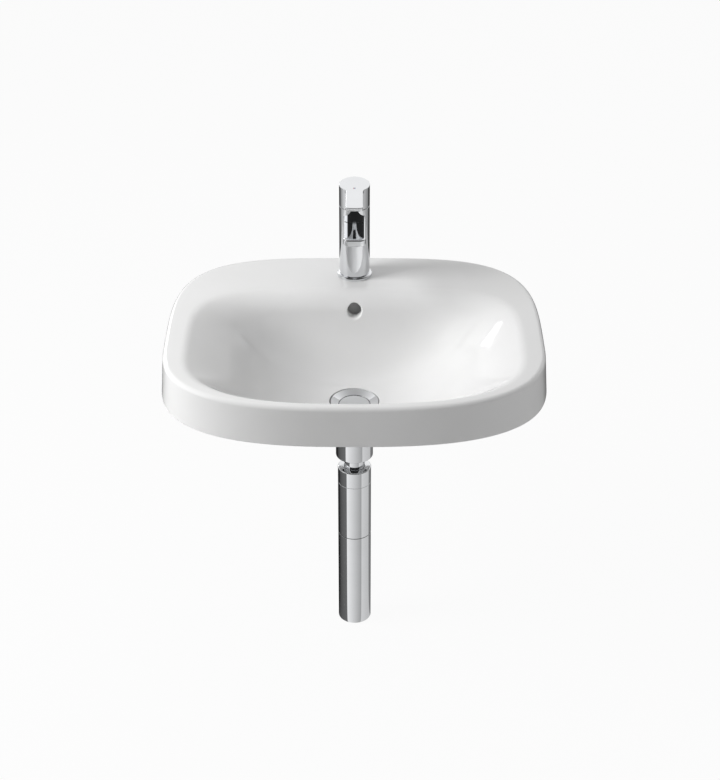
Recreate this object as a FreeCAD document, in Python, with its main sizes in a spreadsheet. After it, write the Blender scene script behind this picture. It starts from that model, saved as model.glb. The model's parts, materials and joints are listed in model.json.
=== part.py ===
import FreeCAD, Part

import math
import os
import re

import Sketcher

# An inset basin with its mixer, waste and bottle trap. The frame has its origin on the worktop, at the
# middle of the basin's foot, with +Z up, +X to the right and the user standing at -Y. All sizes are in mm.

SIZES = {
    # ceramic basin
    "basin_width": 500.0,
    "basin_depth": 420.0,
    "rim_height": 54.0,
    "rim_draft": 3.5,
    "rim_edge_radius": 6.0,
    "widest_from_back": 255.0,
    "corner_power_front": 2.7,
    "corner_power_back": 3.85,
    "seat_width": 22.0,
    "deck_thickness": 15.0,
    "bowl_width": 436.0,
    "bowl_depth": 99.5,
    "bowl_wall": 11.0,
    "bowl_widest_from_back": 270.0,
    "bowl_power_front": 2.7,
    "bowl_power_back": 4.4,
    "bowl_edge_radius": 6.0,
    "bowl_slope_top": 22.0,
    "bowl_slope_floor": 84.0,
    "side_slope_top": 24.0,
    "side_slope_steepest": 43.5,
    "side_slope_floor": 6.0,
    "roll_back": 13.0,
    "roll_depth": 22.0,
    "front_lip": 13.5,
    "back_deck": 114.0,
    "tap_from_back": 55.0,
    "tap_hole": 35.0,
    "overflow_diameter": 19.0,
    "overflow_drop": 22.0,
    "duct_width": 50.0,
    "duct_gap": 13.0,
    "duct_wall": 7.0,
    "duct_lap": 2.0,
    "waste_from_back": 230.0,
    "waste_hole": 46.0,
    "waste_rim_land": 3.0,
    "neck_height": 30.0,
    "neck_wall": 14.0,
    # fits shared by all pieces
    "overcut": 1.0,
    "running_clearance": 0.3,
    "thread_clearance": 0.1,
    "pin_clearance": 0.15,
    "pin_hole_play": 0.04,
    # waste and plug
    "flange_diameter": 64.0,
    "flange_height": 5.0,
    "flange_land": 1.0,
    "flange_recess_gap": 1.0,
    "dish_drop": 4.5,
    "cup_wall": 1.4,
    "cup_gap": 0.6,
    "cup_taper": 1.5,
    "cup_depth": 10.4,
    "barrel_thread": 41.9,
    "barrel_bore": 35.6,
    "barrel_length": 70.0,
    "window_width": 14.0,
    "window_height": 12.0,
    "window_drop": 20.0,
    "spider_drop": 48.0,
    "spider_width": 14.0,
    "spider_height": 8.0,
    "top_washer": 1.5,
    "washer_inset": 0.5,
    "bottom_seal": 5.0,
    "bottom_seal_diameter": 66.0,
    "bottom_seal_taper": 3.0,
    "backnut_height": 9.0,
    "backnut_across": 62.0,
    "plug_diameter": 40.6,
    "plug_sink": 4.0,
    "plug_plate": 3.5,
    "plug_crown": 0.8,
    "plug_skirt_diameter": 34.0,
    "plug_skirt": 4.0,
    "plug_skirt_wall": 2.0,
    "plug_boss_diameter": 14.0,
    "plug_boss": 6.0,
    "plug_seal_cord": 2.5,
    "stem_diameter": 6.0,
    "stem_socket": 5.0,
    "click_diameter": 12.0,
    "click_height": 21.0,
    "click_thread": 8.0,
    "click_collar": 13.0,
    "click_collar_height": 2.0,
    # bottle trap
    "inlet_nut_diameter": 50.0,
    "inlet_nut_height": 28.0,
    "inlet_nut_lip": 8.0,
    "inlet_washer": 3.0,
    "inlet_washer_lap": 2.0,
    "nut_chamfer": 1.5,
    "dip_tube_diameter": 28.0,
    "dip_tube_wall": 1.0,
    "dip_tube_flange": 3.0,
    "dip_tube_length": 195.0,
    "trap_diameter": 45.0,
    "trap_wall": 2.0,
    "trap_neck_drop": 112.0,
    "trap_neck_height": 14.0,
    "trap_neck_wall": 3.5,
    "trap_roof": 4.0,
    "top_nut_height": 24.0,
    "top_nut_lip": 5.0,
    "dip_seal": 5.0,
    "trap_seam_drop": 208.0,
    "trap_bottom_drop": 352.5,
    "cup_seal": 0.8,
    "cup_seal_inset": 0.4,
    "cup_spigot": 12.0,
    "cup_floor": 2.5,
    "cup_edge_radius": 2.5,
    "outlet_drop": 160.0,
    "outlet_diameter": 32.0,
    "outlet_wall": 1.0,
    "outlet_boss_wall": 3.0,
    "outlet_boss_length": 14.0,
    "outlet_nut_diameter": 45.0,
    "outlet_nut_height": 20.0,
    "outlet_nut_lip": 5.0,
    "outlet_seal": 5.0,
    "outlet_insert": 10.0,
    "outlet_passage": 28.0,
    "outlet_passage_gap": 3.0,
    "wall_gap": 130.0,
    "rosette_diameter": 76.0,
    "rosette_depth": 12.0,
    "rosette_wall": 1.2,
    "rosette_collar": 5.0,
    "pipe_past_rosette": 40.0,
    # mixer
    "mixer_diameter": 41.6,
    "mixer_height": 104.8,
    "base_ring_diameter": 48.0,
    "base_ring_height": 4.4,
    "base_ring_wall": 1.6,
    "base_ring_slope": 1.4,
    "base_seal": 0.8,
    "tap_hole_margin": 0.5,
    "cartridge_diameter": 35.0,
    "cartridge_floor": 66.0,
    "cartridge_seal": 1.0,
    "cartridge_seal_width": 2.0,
    "cartridge_base": 8.0,
    "fixed_disc": 4.8,
    "moving_disc": 4.0,
    "disc_diameter": 28.0,
    "disc_gap": 0.2,
    "housing_height": 22.0,
    "carrier_diameter": 22.0,
    "carrier_height": 19.5,
    "cartridge_nut": 6.5,
    "lever_pivot": 96.0,
    "pivot_pin_diameter": 3.0,
    "pivot_pin_inset": 0.5,
    "lever_stem_diameter": 8.0,
    "lever_stem_below": 8.0,
    "lever_stem_above": 30.0,
    "dome_radius": 18.0,
    "dome_wall": 1.5,
    "dome_opening": 22.6,
    "seam_gap": 0.7,
    "handle_height": 30.0,
    "handle_slope": 4.5,
    "handle_wall": 2.5,
    "handle_roof": 8.0,
    "handle_boss_diameter": 14.0,
    "lever_lift": 22.0,
    "wedge_margin": 2.0,
    "wedge_start": 1.8,
    "tongue_width": 23.0,
    "tongue_reach": 65.0,
    "tongue_thickness": 5.0,
    "tongue_root_radius": 5.0,
    "tongue_tip_radius": 3.0,
    "tongue_bow": 60.0,
    "handle_screw_diameter": 4.0,
    "handle_screw_length": 9.0,
    "handle_screw_level": 120.0,
    "index_diameter": 3.6,
    "index_depth": 0.7,
    "index_reach": 12.0,
    "spout_width": 30.0,
    "spout_reach": 92.0,
    "spout_top": 96.0,
    "spout_tip_thickness": 10.0,
    "spout_root_thickness": 26.0,
    "spout_flat": 32.0,
    "spout_corner_radius": 8.0,
    "spout_edge_radius": 2.0,
    "waterway_diameter": 6.0,
    "aerator_diameter": 18.0,
    "aerator_setback": 14.5,
    "aerator_height": 5.5,
    "aerator_seal": 0.8,
    "aerator_wall": 1.8,
    "aerator_recess": 0.6,
    "aerator_mesh_hole": 1.6,
    "inlet_thread": 9.0,
    "inlet_depth": 15.0,
    "inlet_block_diameter": 35.4,
    "inlet_spread": 19.0,
    "inlet_forward": 4.0,
    "stud_diameter": 8.0,
    "stud_back": 11.0,
    "stud_depth": 14.0,
    "stud_length": 80.0,
    "clamp_diameter": 46.0,
    "clamp_slot": 30.0,
    "clamp_slot_end": 4.5,
    "clamp_rubber": 3.0,
    "clamp_plate": 2.5,
    "fixing_nut_across": 13.0,
    "fixing_nut_height": 22.0,
}

# Places and levels that follow from the sizes.
PLACES = {
    "waste_y": "basin_depth / 2 - waste_from_back",
    "tap_y": "basin_depth / 2 - tap_from_back",
    "wall_y": "basin_depth / 2 + wall_gap",
    "deck": "rim_height",
    "floor": "rim_height - bowl_depth",
    "flange_under": "floor - flange_height",
    "neck_top": "flange_under - top_washer",
    "neck_bottom": "neck_top - neck_height",
    "backnut_top": "neck_bottom - bottom_seal",
    "cup_radius": "waste_hole / 2 - cup_wall - cup_gap",
    "plug_top": "floor - plug_sink",
    "plug_under": "plug_top - plug_plate",
    "spider_bottom": "floor - spider_drop",
    "spider_top": "spider_bottom + spider_height",
    "click_top": "spider_top + click_height",
    "barrel_end": "floor - barrel_length",
    "dip_flange_radius": "barrel_thread / 2 - washer_inset",
    "dip_flange_top": "barrel_end - inlet_washer",
    "dip_flange_under": "dip_flange_top - dip_tube_flange",
    "inlet_nut_bottom": "dip_flange_under - inlet_nut_lip",
    "inlet_nut_top": "inlet_nut_bottom + inlet_nut_height",
    "trap_neck_top": "floor - trap_neck_drop",
    "trap_shoulder": "trap_neck_top - trap_neck_height",
    "top_nut_top": "trap_neck_top + dip_seal + top_nut_lip",
    "trap_seam": "floor - trap_seam_drop",
    "cup_shoulder": "trap_seam - cup_seal",
    "cup_bottom": "floor - trap_bottom_drop",
    "neck_thread_radius": "dip_tube_diameter / 2 + running_clearance + trap_neck_wall",
    "outlet_level": "floor - outlet_drop",
    "outlet_boss_end": "trap_diameter / 2 + outlet_boss_length",
    "outlet_thread_radius": "outlet_diameter / 2 + running_clearance + outlet_boss_wall",
    "outlet_nut_end": "outlet_boss_end + outlet_seal + outlet_nut_lip",
    "outlet_reach": "wall_y - waste_y",
    "rosette_inside": "outlet_reach - rosette_depth + rosette_wall",
    "body_foot": "deck + base_ring_height",
    "body_top": "deck + mixer_height",
    "block_top": "body_foot + inlet_depth",
    "cartridge_level": "deck + cartridge_floor",
    "disc_level": "cartridge_level + cartridge_seal + cartridge_base",
    "moving_disc_under": "disc_level + fixed_disc + disc_gap",
    "carrier_under": "moving_disc_under + moving_disc",
    "housing_top": "disc_level + housing_height",
    "nut_top": "housing_top + cartridge_nut",
    "pivot_level": "deck + lever_pivot",
    "handle_foot": "body_top + seam_gap",
    "handle_top": "handle_foot + handle_height",
    "handle_bore": "mixer_diameter / 2 - handle_wall",
    "root_long": "mixer_diameter / 2 + tongue_root_radius",
    "root_side": "tongue_width / 2 + tongue_root_radius",
    "root_start": "sqrt(root_long^2 - root_side^2)",
    "root_share": "(mixer_diameter / 2) / root_long",
    "root_x": "root_side * root_share",
    "root_y": "root_start * root_share",
    "index_y": "index_depth * sin(handle_slope) - index_reach * cos(handle_slope)",
    "index_level": "handle_top - index_reach * sin(handle_slope) - index_depth * cos(handle_slope)",
    "boss_foot": "pivot_level + dome_radius + 2 * running_clearance",
    "stem_top": "pivot_level + lever_stem_above",
    "spout_level": "deck + spout_top",
    "spout_under": "spout_level - spout_tip_thickness",
    "aerator_reach": "spout_reach - aerator_setback",
    "aerator_top": "spout_under + aerator_height",
    "deck_under": "deck - deck_thickness",
    "rubber_under": "deck_under - clamp_rubber",
    "plate_under": "rubber_under - clamp_plate",
}


def bound(text):
    """Return the sheet expression for a formula written with the names of sizes and places."""
    def swap(match):
        word = match.group(0)
        if word in PLACES:
            return "(" + bound(PLACES[word]) + ")"
        if word in SIZES:
            return "Sheet." + word
        return word
    return re.sub(r"[a-z][a-z0-9_]*", swap, text)


def size(text):
    """Return the value of a formula written with the names of sizes and places."""
    return float(sheet.evalExpression(bound(text)))


def bind(thing, **formulas):
    """Tie properties of a document object to the sheet."""
    for name, formula in formulas.items():
        thing.setExpression(name, bound(formula))


def seat(thing, x="0", y="0", z="0", rotation=None):
    """Put a document object at a place that follows the sheet."""
    turn = rotation or FreeCAD.Rotation()
    thing.Placement = FreeCAD.Placement(FreeCAD.Vector(), turn)
    for axis, formula in (("x", x), ("y", y), ("z", z)):
        thing.setExpression("Placement.Base." + axis, bound(formula))


ALONG_Y = FreeCAD.Rotation(FreeCAD.Vector(1, 0, 0), -90)
ALONG_X = FreeCAD.Rotation(FreeCAD.Vector(0, 1, 0), 90)
# How close an edge lies to the place that picks it.
NEAR = 0.01

doc = FreeCAD.newDocument("inset_basin")
sheet = doc.addObject("Spreadsheet::Sheet", "Sheet")
for row, (alias, number) in enumerate(SIZES.items(), start=1):
    sheet.set("A%d" % row, alias)
    sheet.set("B%d" % row, str(number))
    sheet.setAlias("B%d" % row, alias)
doc.recompute()

sub_parts = []


def new_body(label, x="0", y="0"):
    """Start a sub-part as a body that stands on its own axis."""
    body = doc.addObject("PartDesign::Body", label)
    body.Label = label
    seat(body, x, y)
    sub_parts.append(body)
    return body


def arc_between(start, end, radius):
    """Return the shorter arc between two points, to the right of the way, or left for a negative radius."""
    chord = end - start
    across = FreeCAD.Vector(-chord.y, chord.x, 0).normalize()
    offset = math.sqrt(radius ** 2 - (chord.Length / 2) ** 2)
    side = 1 if radius > 0 else -1
    centre = start + chord * 0.5 + across * (side * offset)
    middle = centre - across * (side * abs(radius))
    return Part.Arc(start, middle, end)


def outline_sketch(body, role, name, corners):
    """Draw a closed outline on a plane of the body, each corner tied to the sheet.

    A corner is its two formulas. Where it has a third, the edge that starts there is an arc of that radius.
    """
    sketch = body.newObject("Sketcher::SketchObject", name)
    plane = next(item for item in body.Origin.OriginFeatures if item.Role == role)
    sketch.AttachmentSupport = [(plane, "")]
    sketch.MapMode = "FlatFace"
    points = [FreeCAD.Vector(size(corner[0]), size(corner[1]), 0) for corner in corners]
    count = len(points)
    edges = []
    ends = []
    for i, corner in enumerate(corners):
        start, end = points[i], points[(i + 1) % count]
        if len(corner) == 2:
            edges.append(Part.LineSegment(start, end))
            ends.append((1, 2))
        else:
            edges.append(arc_between(start, end, size(corner[2])))
            ends.append((1, 2) if size(corner[2]) > 0 else (2, 1))
    sketch.addGeometry(edges, False)
    rules = [Sketcher.Constraint("Coincident", i, ends[i][1], (i + 1) % count, ends[(i + 1) % count][0])
             for i in range(count)]
    formulas = []
    for i, corner in enumerate(corners):
        rules.append(Sketcher.Constraint("DistanceX", -1, 1, i, ends[i][0], points[i].x))
        rules.append(Sketcher.Constraint("DistanceY", -1, 1, i, ends[i][0], points[i].y))
        formulas.extend([corner[0], corner[1]])
    for i, corner in enumerate(corners):
        if len(corner) == 3:
            rules.append(Sketcher.Constraint("Radius", i, abs(size(corner[2]))))
            formulas.append("abs(%s)" % corner[2])
    sketch.addConstraint(rules)
    for i, formula in enumerate(formulas):
        sketch.setExpression("Constraints[%d]" % (count + i), bound(formula))
    return sketch


def turn(body, name, corners, kind="Revolution"):
    """Turn an outline of radius and height about the body's axis, to add or to cut."""
    sketch = outline_sketch(body, "XZ_Plane", name + "_outline", corners)
    feature = body.newObject("PartDesign::" + kind, name)
    feature.Profile = sketch
    feature.ReferenceAxis = (sketch, ["V_Axis"])
    feature.Angle = 360.0
    return feature


def turned(label, corners, x="0", y="0"):
    """Make a sub-part that is one turned outline."""
    body = new_body(label, x, y)
    turn(body, label + "_turn", corners)
    return body


def ring(label, inner, outer, bottom, top, y="0"):
    """Make a flat ring."""
    return turned(label, [(inner, bottom), (outer, bottom), (outer, top), (inner, top)], "0", y)


def extrude(body, name, kind, corners, length):
    """Extrude an outline of the side view by half a length to each side, to add or to cut."""
    sketch = outline_sketch(body, "YZ_Plane", name + "_outline", corners)
    feature = body.newObject("PartDesign::" + kind, name)
    feature.Profile = sketch
    feature.SideType = "Symmetric"
    bind(feature, Length=length)
    return feature


def drill(body, name, diameter, length, x="0", y="0", z="0", rotation=None):
    """Cut a round hole that starts at a place and runs along the turned Z axis."""
    hole = body.newObject("PartDesign::SubtractiveCylinder", name)
    seat(hole, x, y, z, rotation)
    bind(hole, Radius="(%s) / 2" % diameter, Height=length)
    return hole


def carve(body, name, kind, lengths, corner):
    """Add or cut a box from its lengths and its lowest corner."""
    box = body.newObject("PartDesign::%sBox" % kind, name)
    seat(box, *corner)
    bind(box, Length=lengths[0], Width=lengths[1], Height=lengths[2])
    return box


def round_edges(body, name, radius, wanted):
    """Round the edges of the body that the test picks."""
    doc.recompute()
    base = body.Tip
    edges = ["Edge%d" % (i + 1) for i, edge in enumerate(base.Shape.Edges) if wanted(edge)]
    fillet = body.newObject("PartDesign::Fillet", name)
    fillet.Base = (base, edges)
    bind(fillet, Radius=radius)
    return fillet


def circle_at(radius, level):
    """Return a test for a full circle of one radius and height about the body's axis."""
    def wanted(edge):
        curve = edge.Curve
        if not isinstance(curve, Part.Circle) or not edge.isClosed():
            return False
        return abs(curve.Radius - size(radius)) < NEAR and abs(curve.Center.z - size(level)) < NEAR
    return wanted


def upright_at(x, y):
    """Return a test for an upright edge at a distance from the middle plane and a place along Y."""
    def wanted(edge):
        ends = [vertex.Point for vertex in edge.Vertexes]
        if len(ends) != 2 or abs(ends[0].z - ends[1].z) < NEAR:
            return False
        return all(abs(abs(end.x) - size(x)) < NEAR and abs(end.y - size(y)) < NEAR for end in ends)
    return wanted


# Ceramic basin: smooth outlines of two half superellipses, lofted.
OUTLINE_POINTS = 48
BOWL_SECTIONS = 11


def outline(half_width, front, back, middle, power_front, power_back, level):
    """Return a closed smooth wire that is widest at one place along Y and has its own front and back."""
    points = []
    for step in range(OUTLINE_POINTS):
        angle = math.pi + 2 * math.pi * step / OUTLINE_POINTS
        across, along = abs(math.cos(angle)), abs(math.sin(angle))
        ahead = math.sin(angle) < 0
        reach, power = (middle - front, power_front) if ahead else (back - middle, power_back)
        radius = ((across / half_width) ** power + (along / reach) ** power) ** (-1 / power)
        points.append(FreeCAD.Vector(radius * math.cos(angle), middle + radius * math.sin(angle), level))
    curve = Part.BSplineCurve()
    curve.interpolate(Points=points, PeriodicFlag=True)
    return Part.Wire(curve.toShape())


def rim_outline(inset, level):
    """Return the outline of the rim wall, drawn in from the foot."""
    half_depth = size("basin_depth") / 2
    middle = half_depth - size("widest_from_back")
    powers = size("corner_power_front"), size("corner_power_back")
    half_width = size("basin_width") / 2
    return outline(half_width - inset, inset - half_depth, half_depth - inset, middle, *powers, level)


def side_run(drop, reach):
    """Return how far in from its edge the bowl's side is at a depth.

    The side is two arcs, one that bends down to the steepest slope and one that bends back to the floor.
    """
    slopes = "side_slope_top", "side_slope_steepest", "side_slope_floor"
    first, middle, last = (math.radians(size(slope)) for slope in slopes)
    depth = size("bowl_depth")
    over_run, over_fall = math.sin(middle) - math.sin(first), math.cos(first) - math.cos(middle)
    under_run, under_fall = math.sin(middle) - math.sin(last), math.cos(last) - math.cos(middle)
    scale = over_run * under_fall - under_run * over_fall
    over = (reach * under_fall - depth * under_run) / scale
    under = (depth * over_run - reach * over_fall) / scale
    if drop < over * over_fall:
        angle = math.acos(math.cos(first) - drop / over)
        return over * (math.sin(angle) - math.sin(first))
    angle = math.acos(math.cos(middle) + (drop - over * over_fall) / under)
    return over * over_run + under * (math.sin(middle) - math.sin(angle))


def bowl_section(share, outset):
    """Return one level outline of the bowl, from the edge at share 0 to the waste at share 1."""
    top = math.radians(size("bowl_slope_top"))
    floor = math.radians(size("bowl_slope_floor"))
    angle = top + (floor - top) * share
    drop = (math.sin(angle) - math.sin(top)) / (math.sin(floor) - math.sin(top)) * size("bowl_depth")
    spread = (math.cos(angle) - math.cos(floor)) / (math.cos(top) - math.cos(floor))
    roll = max(0.0, 1 - drop / size("roll_depth")) ** 2
    waste = size("waste_y")
    land = size("flange_diameter / 2 + flange_recess_gap + waste_rim_land")
    half_depth = size("basin_depth") / 2 - size("rim_draft")
    front = size("front_lip") - half_depth
    back = half_depth - size("back_deck")
    middle = size("basin_depth") / 2 - size("bowl_widest_from_back")
    half_width = size("bowl_width") / 2
    corner = math.sqrt(max(0.0, spread))
    return outline(
        half_width - side_run(drop, half_width - land) + outset,
        waste - land + (front - waste + land) * spread - outset,
        waste + land + (back - waste - land) * spread + size("roll_back") * roll + outset,
        waste + (middle - waste) * spread,
        2 + (size("bowl_power_front") - 2) * corner,
        2 + (size("bowl_power_back") - 2) * corner,
        size("rim_height") - drop - outset)


def bowl(outset):
    """Return the solid that fills the bowl, grown by an outset."""
    sections = [bowl_section(step / BOWL_SECTIONS, outset) for step in range(BOWL_SECTIONS + 1)]
    return Part.makeLoft(sections, True, False)


def cylinder(diameter, bottom, top, y):
    """Return an upright solid cylinder between two levels."""
    low = size(bottom)
    return Part.makeCylinder(size(diameter) / 2, size(top) - low, FreeCAD.Vector(0, size(y), low))


def slab(half_width, y_low, y_high, bottom, top):
    """Return a box about the middle plane."""
    corner = FreeCAD.Vector(-half_width, y_low, bottom)
    return Part.makeBox(2 * half_width, y_high - y_low, top - bottom, corner)


def is_bowl_edge(edge):
    """Test for the edge between the flat top and the bowl, wider than the tap hole and inside the rim."""
    box = edge.optimalBoundingBox()
    height = size("rim_height")
    level = max(abs(box.ZMin - height), abs(box.ZMax - height)) < NEAR
    inside = box.XLength < size("basin_width - 2 * rim_draft - 2 * rim_edge_radius - overcut")
    return level and inside and box.XLength > size("tap_hole + overcut")


def make_basin():
    """Cast the basin: rim block, hollow under the deck, bowl shell, overflow duct and holes."""
    height = size("rim_height")
    wall = size("bowl_wall")
    gap = wall + size("duct_gap")
    half_depth = size("basin_depth") / 2
    waste = size("waste_y")
    block = Part.makeLoft([rim_outline(0, 0), rim_outline(size("rim_draft"), height)], True, True)
    top_edge = [edge for edge in block.Edges if abs(edge.BoundBox.ZMin - height) < NEAR]
    block = block.makeFillet(size("rim_edge_radius"), top_edge)
    inset = size("seat_width")
    overcut = size("overcut")
    hollow = Part.makeLoft([rim_outline(inset, -overcut), rim_outline(inset, size("deck_under"))], True, True)
    bowl_outside = bowl(wall)
    shell = block.cut(hollow).fuse(bowl_outside)
    neck_diameter = "waste_hole + 2 * neck_wall"
    shell = shell.fuse(cylinder(neck_diameter, "neck_bottom", "floor - bowl_wall / 2", "waste_y"))
    duct_half = size("duct_width") / 2
    duct_walls = duct_half + size("duct_wall")
    duct_foot = size("neck_bottom")
    neck_side = waste + size("waste_hole") / 2
    casing = bowl(gap + size("duct_wall"))
    casing = casing.common(slab(duct_walls, waste, half_depth, duct_foot, size("deck_under") + overcut))
    shell = shell.fuse(casing)
    shell = shell.cut(bowl(0))
    channel = bowl(gap).cut(bowl_outside)
    channel_top = size("rim_height - overflow_drop + overflow_diameter / 2")
    channel_low = size("floor - window_drop - window_height")
    lap = size("duct_lap")
    channel = channel.common(slab(duct_half, neck_side - lap, half_depth, channel_low, channel_top))
    shell = shell.cut(channel)
    slot_top = channel_low + size("window_height")
    shell = shell.cut(slab(size("window_width") / 2, waste, neck_side + 3 * lap, channel_low, slot_top))
    recess = "flange_diameter + 2 * flange_recess_gap"
    shell = shell.cut(cylinder(recess, "neck_top", "floor + overcut", "waste_y"))
    shell = shell.cut(cylinder("waste_hole", "neck_bottom - overcut", "floor", "waste_y"))
    shell = shell.cut(cylinder("tap_hole", "deck_under - overcut", "deck + overcut", "tap_y"))
    overflow_end = half_depth - size("rim_draft") - size("back_deck") + wall
    overflow_place = FreeCAD.Vector(0, neck_side, size("rim_height - overflow_drop"))
    shell = shell.cut(Part.makeCylinder(size("overflow_diameter") / 2, overflow_end - neck_side,
                                        overflow_place, FreeCAD.Vector(0, 1, 0)))
    return shell.makeFillet(size("bowl_edge_radius"), [edge for edge in shell.Edges if is_bowl_edge(edge)])


basin = doc.addObject("Part::Feature", "basin_body")
basin.Label = "basin_body"
basin.Shape = make_basin()
sub_parts.append(basin)

# Waste with its push plug, on the waste axis.
waste_body = new_body("waste_body", "0", "waste_y")
turn(waste_body, "waste_flange_and_barrel", [
    ("barrel_bore / 2", "barrel_end"),
    ("barrel_thread / 2", "barrel_end"),
    ("barrel_thread / 2", "floor - cup_depth - 2 * cup_taper"),
    ("cup_radius + cup_wall", "floor - cup_depth - cup_taper"),
    ("cup_radius + cup_wall", "flange_under"),
    ("flange_diameter / 2", "flange_under"),
    ("flange_diameter / 2", "floor - flange_land"),
    ("flange_diameter / 2 - flange_land", "floor"),
    ("cup_radius", "floor - dish_drop"),
    ("cup_radius", "floor - cup_depth"),
    ("barrel_bore / 2", "floor - cup_depth"),
])
carve(waste_body, "overflow_windows", "Subtractive",
      ("window_width", "barrel_thread + 2 * overcut", "window_height"),
      ("-window_width / 2", "-barrel_thread / 2 - overcut", "floor - window_drop - window_height"))
carve(waste_body, "spider", "Additive",
      ("barrel_bore + overcut", "spider_width", "spider_height"),
      ("-(barrel_bore + overcut) / 2", "-spider_width / 2", "spider_bottom"))
drill(waste_body, "spider_hole", "click_thread + 2 * thread_clearance", "spider_height + 2 * overcut",
      z="spider_bottom - overcut")

turned("click_cartridge", [
    ("0", "spider_bottom"),
    ("click_thread / 2", "spider_bottom"),
    ("click_thread / 2", "spider_top"),
    ("click_collar / 2", "spider_top"),
    ("click_collar / 2", "spider_top + click_collar_height"),
    ("click_diameter / 2", "spider_top + click_collar_height"),
    ("click_diameter / 2", "click_top"),
    ("stem_diameter / 2 + running_clearance", "click_top"),
    ("stem_diameter / 2 + running_clearance", "spider_top + click_collar_height"),
    ("0", "spider_top + click_collar_height"),
], y="waste_y")

turned("plug_stem", [
    ("0", "spider_top + click_collar_height + running_clearance"),
    ("stem_diameter / 2", "spider_top + click_collar_height + running_clearance"),
    ("stem_diameter / 2", "plug_under - plug_boss + stem_socket"),
    ("0", "plug_under - plug_boss + stem_socket"),
], y="waste_y")

turned("waste_plug", [
    ("0", "plug_under - plug_boss + stem_socket"),
    ("stem_diameter / 2 + thread_clearance", "plug_under - plug_boss + stem_socket"),
    ("stem_diameter / 2 + thread_clearance", "plug_under - plug_boss"),
    ("plug_boss_diameter / 2", "plug_under - plug_boss"),
    ("plug_boss_diameter / 2", "plug_under"),
    ("plug_skirt_diameter / 2 - plug_skirt_wall", "plug_under"),
    ("plug_skirt_diameter / 2 - plug_skirt_wall", "plug_under - plug_skirt"),
    ("plug_skirt_diameter / 2", "plug_under - plug_skirt"),
    ("plug_skirt_diameter / 2", "plug_under"),
    ("plug_diameter / 2", "plug_under"),
    ("plug_diameter / 2", "plug_top - plug_crown"),
    ("plug_diameter / 2 - plug_crown", "plug_top"),
    ("0", "plug_top"),
], y="waste_y")

plug_seal = doc.addObject("Part::Torus", "plug_seal")
plug_seal.Label = "plug_seal"
bind(plug_seal, Radius1="(plug_skirt_diameter + plug_seal_cord) / 2", Radius2="plug_seal_cord / 2")
seat(plug_seal, "0", "waste_y", "plug_under - plug_seal_cord / 2")
sub_parts.append(plug_seal)

ring("waste_top_washer", "cup_radius + cup_wall + running_clearance", "flange_diameter / 2 - washer_inset",
     "neck_top", "flange_under", "waste_y")
turned("waste_bottom_seal", [
    ("barrel_thread / 2 + thread_clearance", "backnut_top"),
    ("bottom_seal_diameter / 2 - bottom_seal_taper", "backnut_top"),
    ("bottom_seal_diameter / 2", "neck_bottom"),
    ("barrel_thread / 2 + thread_clearance", "neck_bottom"),
], y="waste_y")


def hexagon_nut(label, across, height, top, hole, x="0", y="0"):
    """Make a hexagon nut below a level with a plain round hole."""
    prism = doc.addObject("Part::Prism", label + "_hexagon")
    prism.Polygon = 6
    bind(prism, Circumradius="(%s) / sqrt(3)" % across, Height=height)
    seat(prism, x, y, "%s - %s" % (top, height))
    bore = doc.addObject("Part::Cylinder", label + "_bore")
    bind(bore, Radius="(%s) / 2" % hole, Height=height + " + 2 * overcut")
    seat(bore, x, y, "%s - %s - overcut" % (top, height))
    nut = doc.addObject("Part::Cut", label)
    nut.Label = label
    nut.Base = prism
    nut.Tool = bore
    sub_parts.append(nut)


hexagon_nut("waste_backnut", "backnut_across", "backnut_height", "backnut_top",
            "barrel_thread + 2 * thread_clearance", y="waste_y")

# Bottle trap, on the same axis, with its outlet to the wall.
turned("trap_inlet_nut", [
    ("dip_tube_diameter / 2 + running_clearance", "inlet_nut_bottom"),
    ("inlet_nut_diameter / 2 - nut_chamfer", "inlet_nut_bottom"),
    ("inlet_nut_diameter / 2", "inlet_nut_bottom + nut_chamfer"),
    ("inlet_nut_diameter / 2", "inlet_nut_top - nut_chamfer"),
    ("inlet_nut_diameter / 2 - nut_chamfer", "inlet_nut_top"),
    ("barrel_thread / 2 + thread_clearance", "inlet_nut_top"),
    ("barrel_thread / 2 + thread_clearance", "dip_flange_under"),
    ("dip_tube_diameter / 2 + running_clearance", "dip_flange_under"),
], y="waste_y")
ring("inlet_washer", "barrel_bore / 2 - inlet_washer_lap", "dip_flange_radius",
     "dip_flange_top", "barrel_end", "waste_y")
turned("dip_tube", [
    ("dip_tube_diameter / 2 - dip_tube_wall", "dip_flange_under - dip_tube_length"),
    ("dip_tube_diameter / 2", "dip_flange_under - dip_tube_length"),
    ("dip_tube_diameter / 2", "dip_flange_under"),
    ("dip_flange_radius", "dip_flange_under"),
    ("dip_flange_radius", "dip_flange_top"),
    ("dip_tube_diameter / 2 - dip_tube_wall", "dip_flange_top"),
], y="waste_y")
turned("trap_top_nut", [
    ("neck_thread_radius + thread_clearance", "top_nut_top - top_nut_height"),
    ("trap_diameter / 2", "top_nut_top - top_nut_height"),
    ("trap_diameter / 2", "top_nut_top - nut_chamfer"),
    ("trap_diameter / 2 - nut_chamfer", "top_nut_top"),
    ("dip_tube_diameter / 2 + running_clearance", "top_nut_top"),
    ("dip_tube_diameter / 2 + running_clearance", "trap_neck_top + dip_seal"),
    ("neck_thread_radius + thread_clearance", "trap_neck_top + dip_seal"),
], y="waste_y")
ring("dip_seal", "dip_tube_diameter / 2 + thread_clearance", "neck_thread_radius",
     "trap_neck_top", "trap_neck_top + dip_seal", "waste_y")

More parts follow.
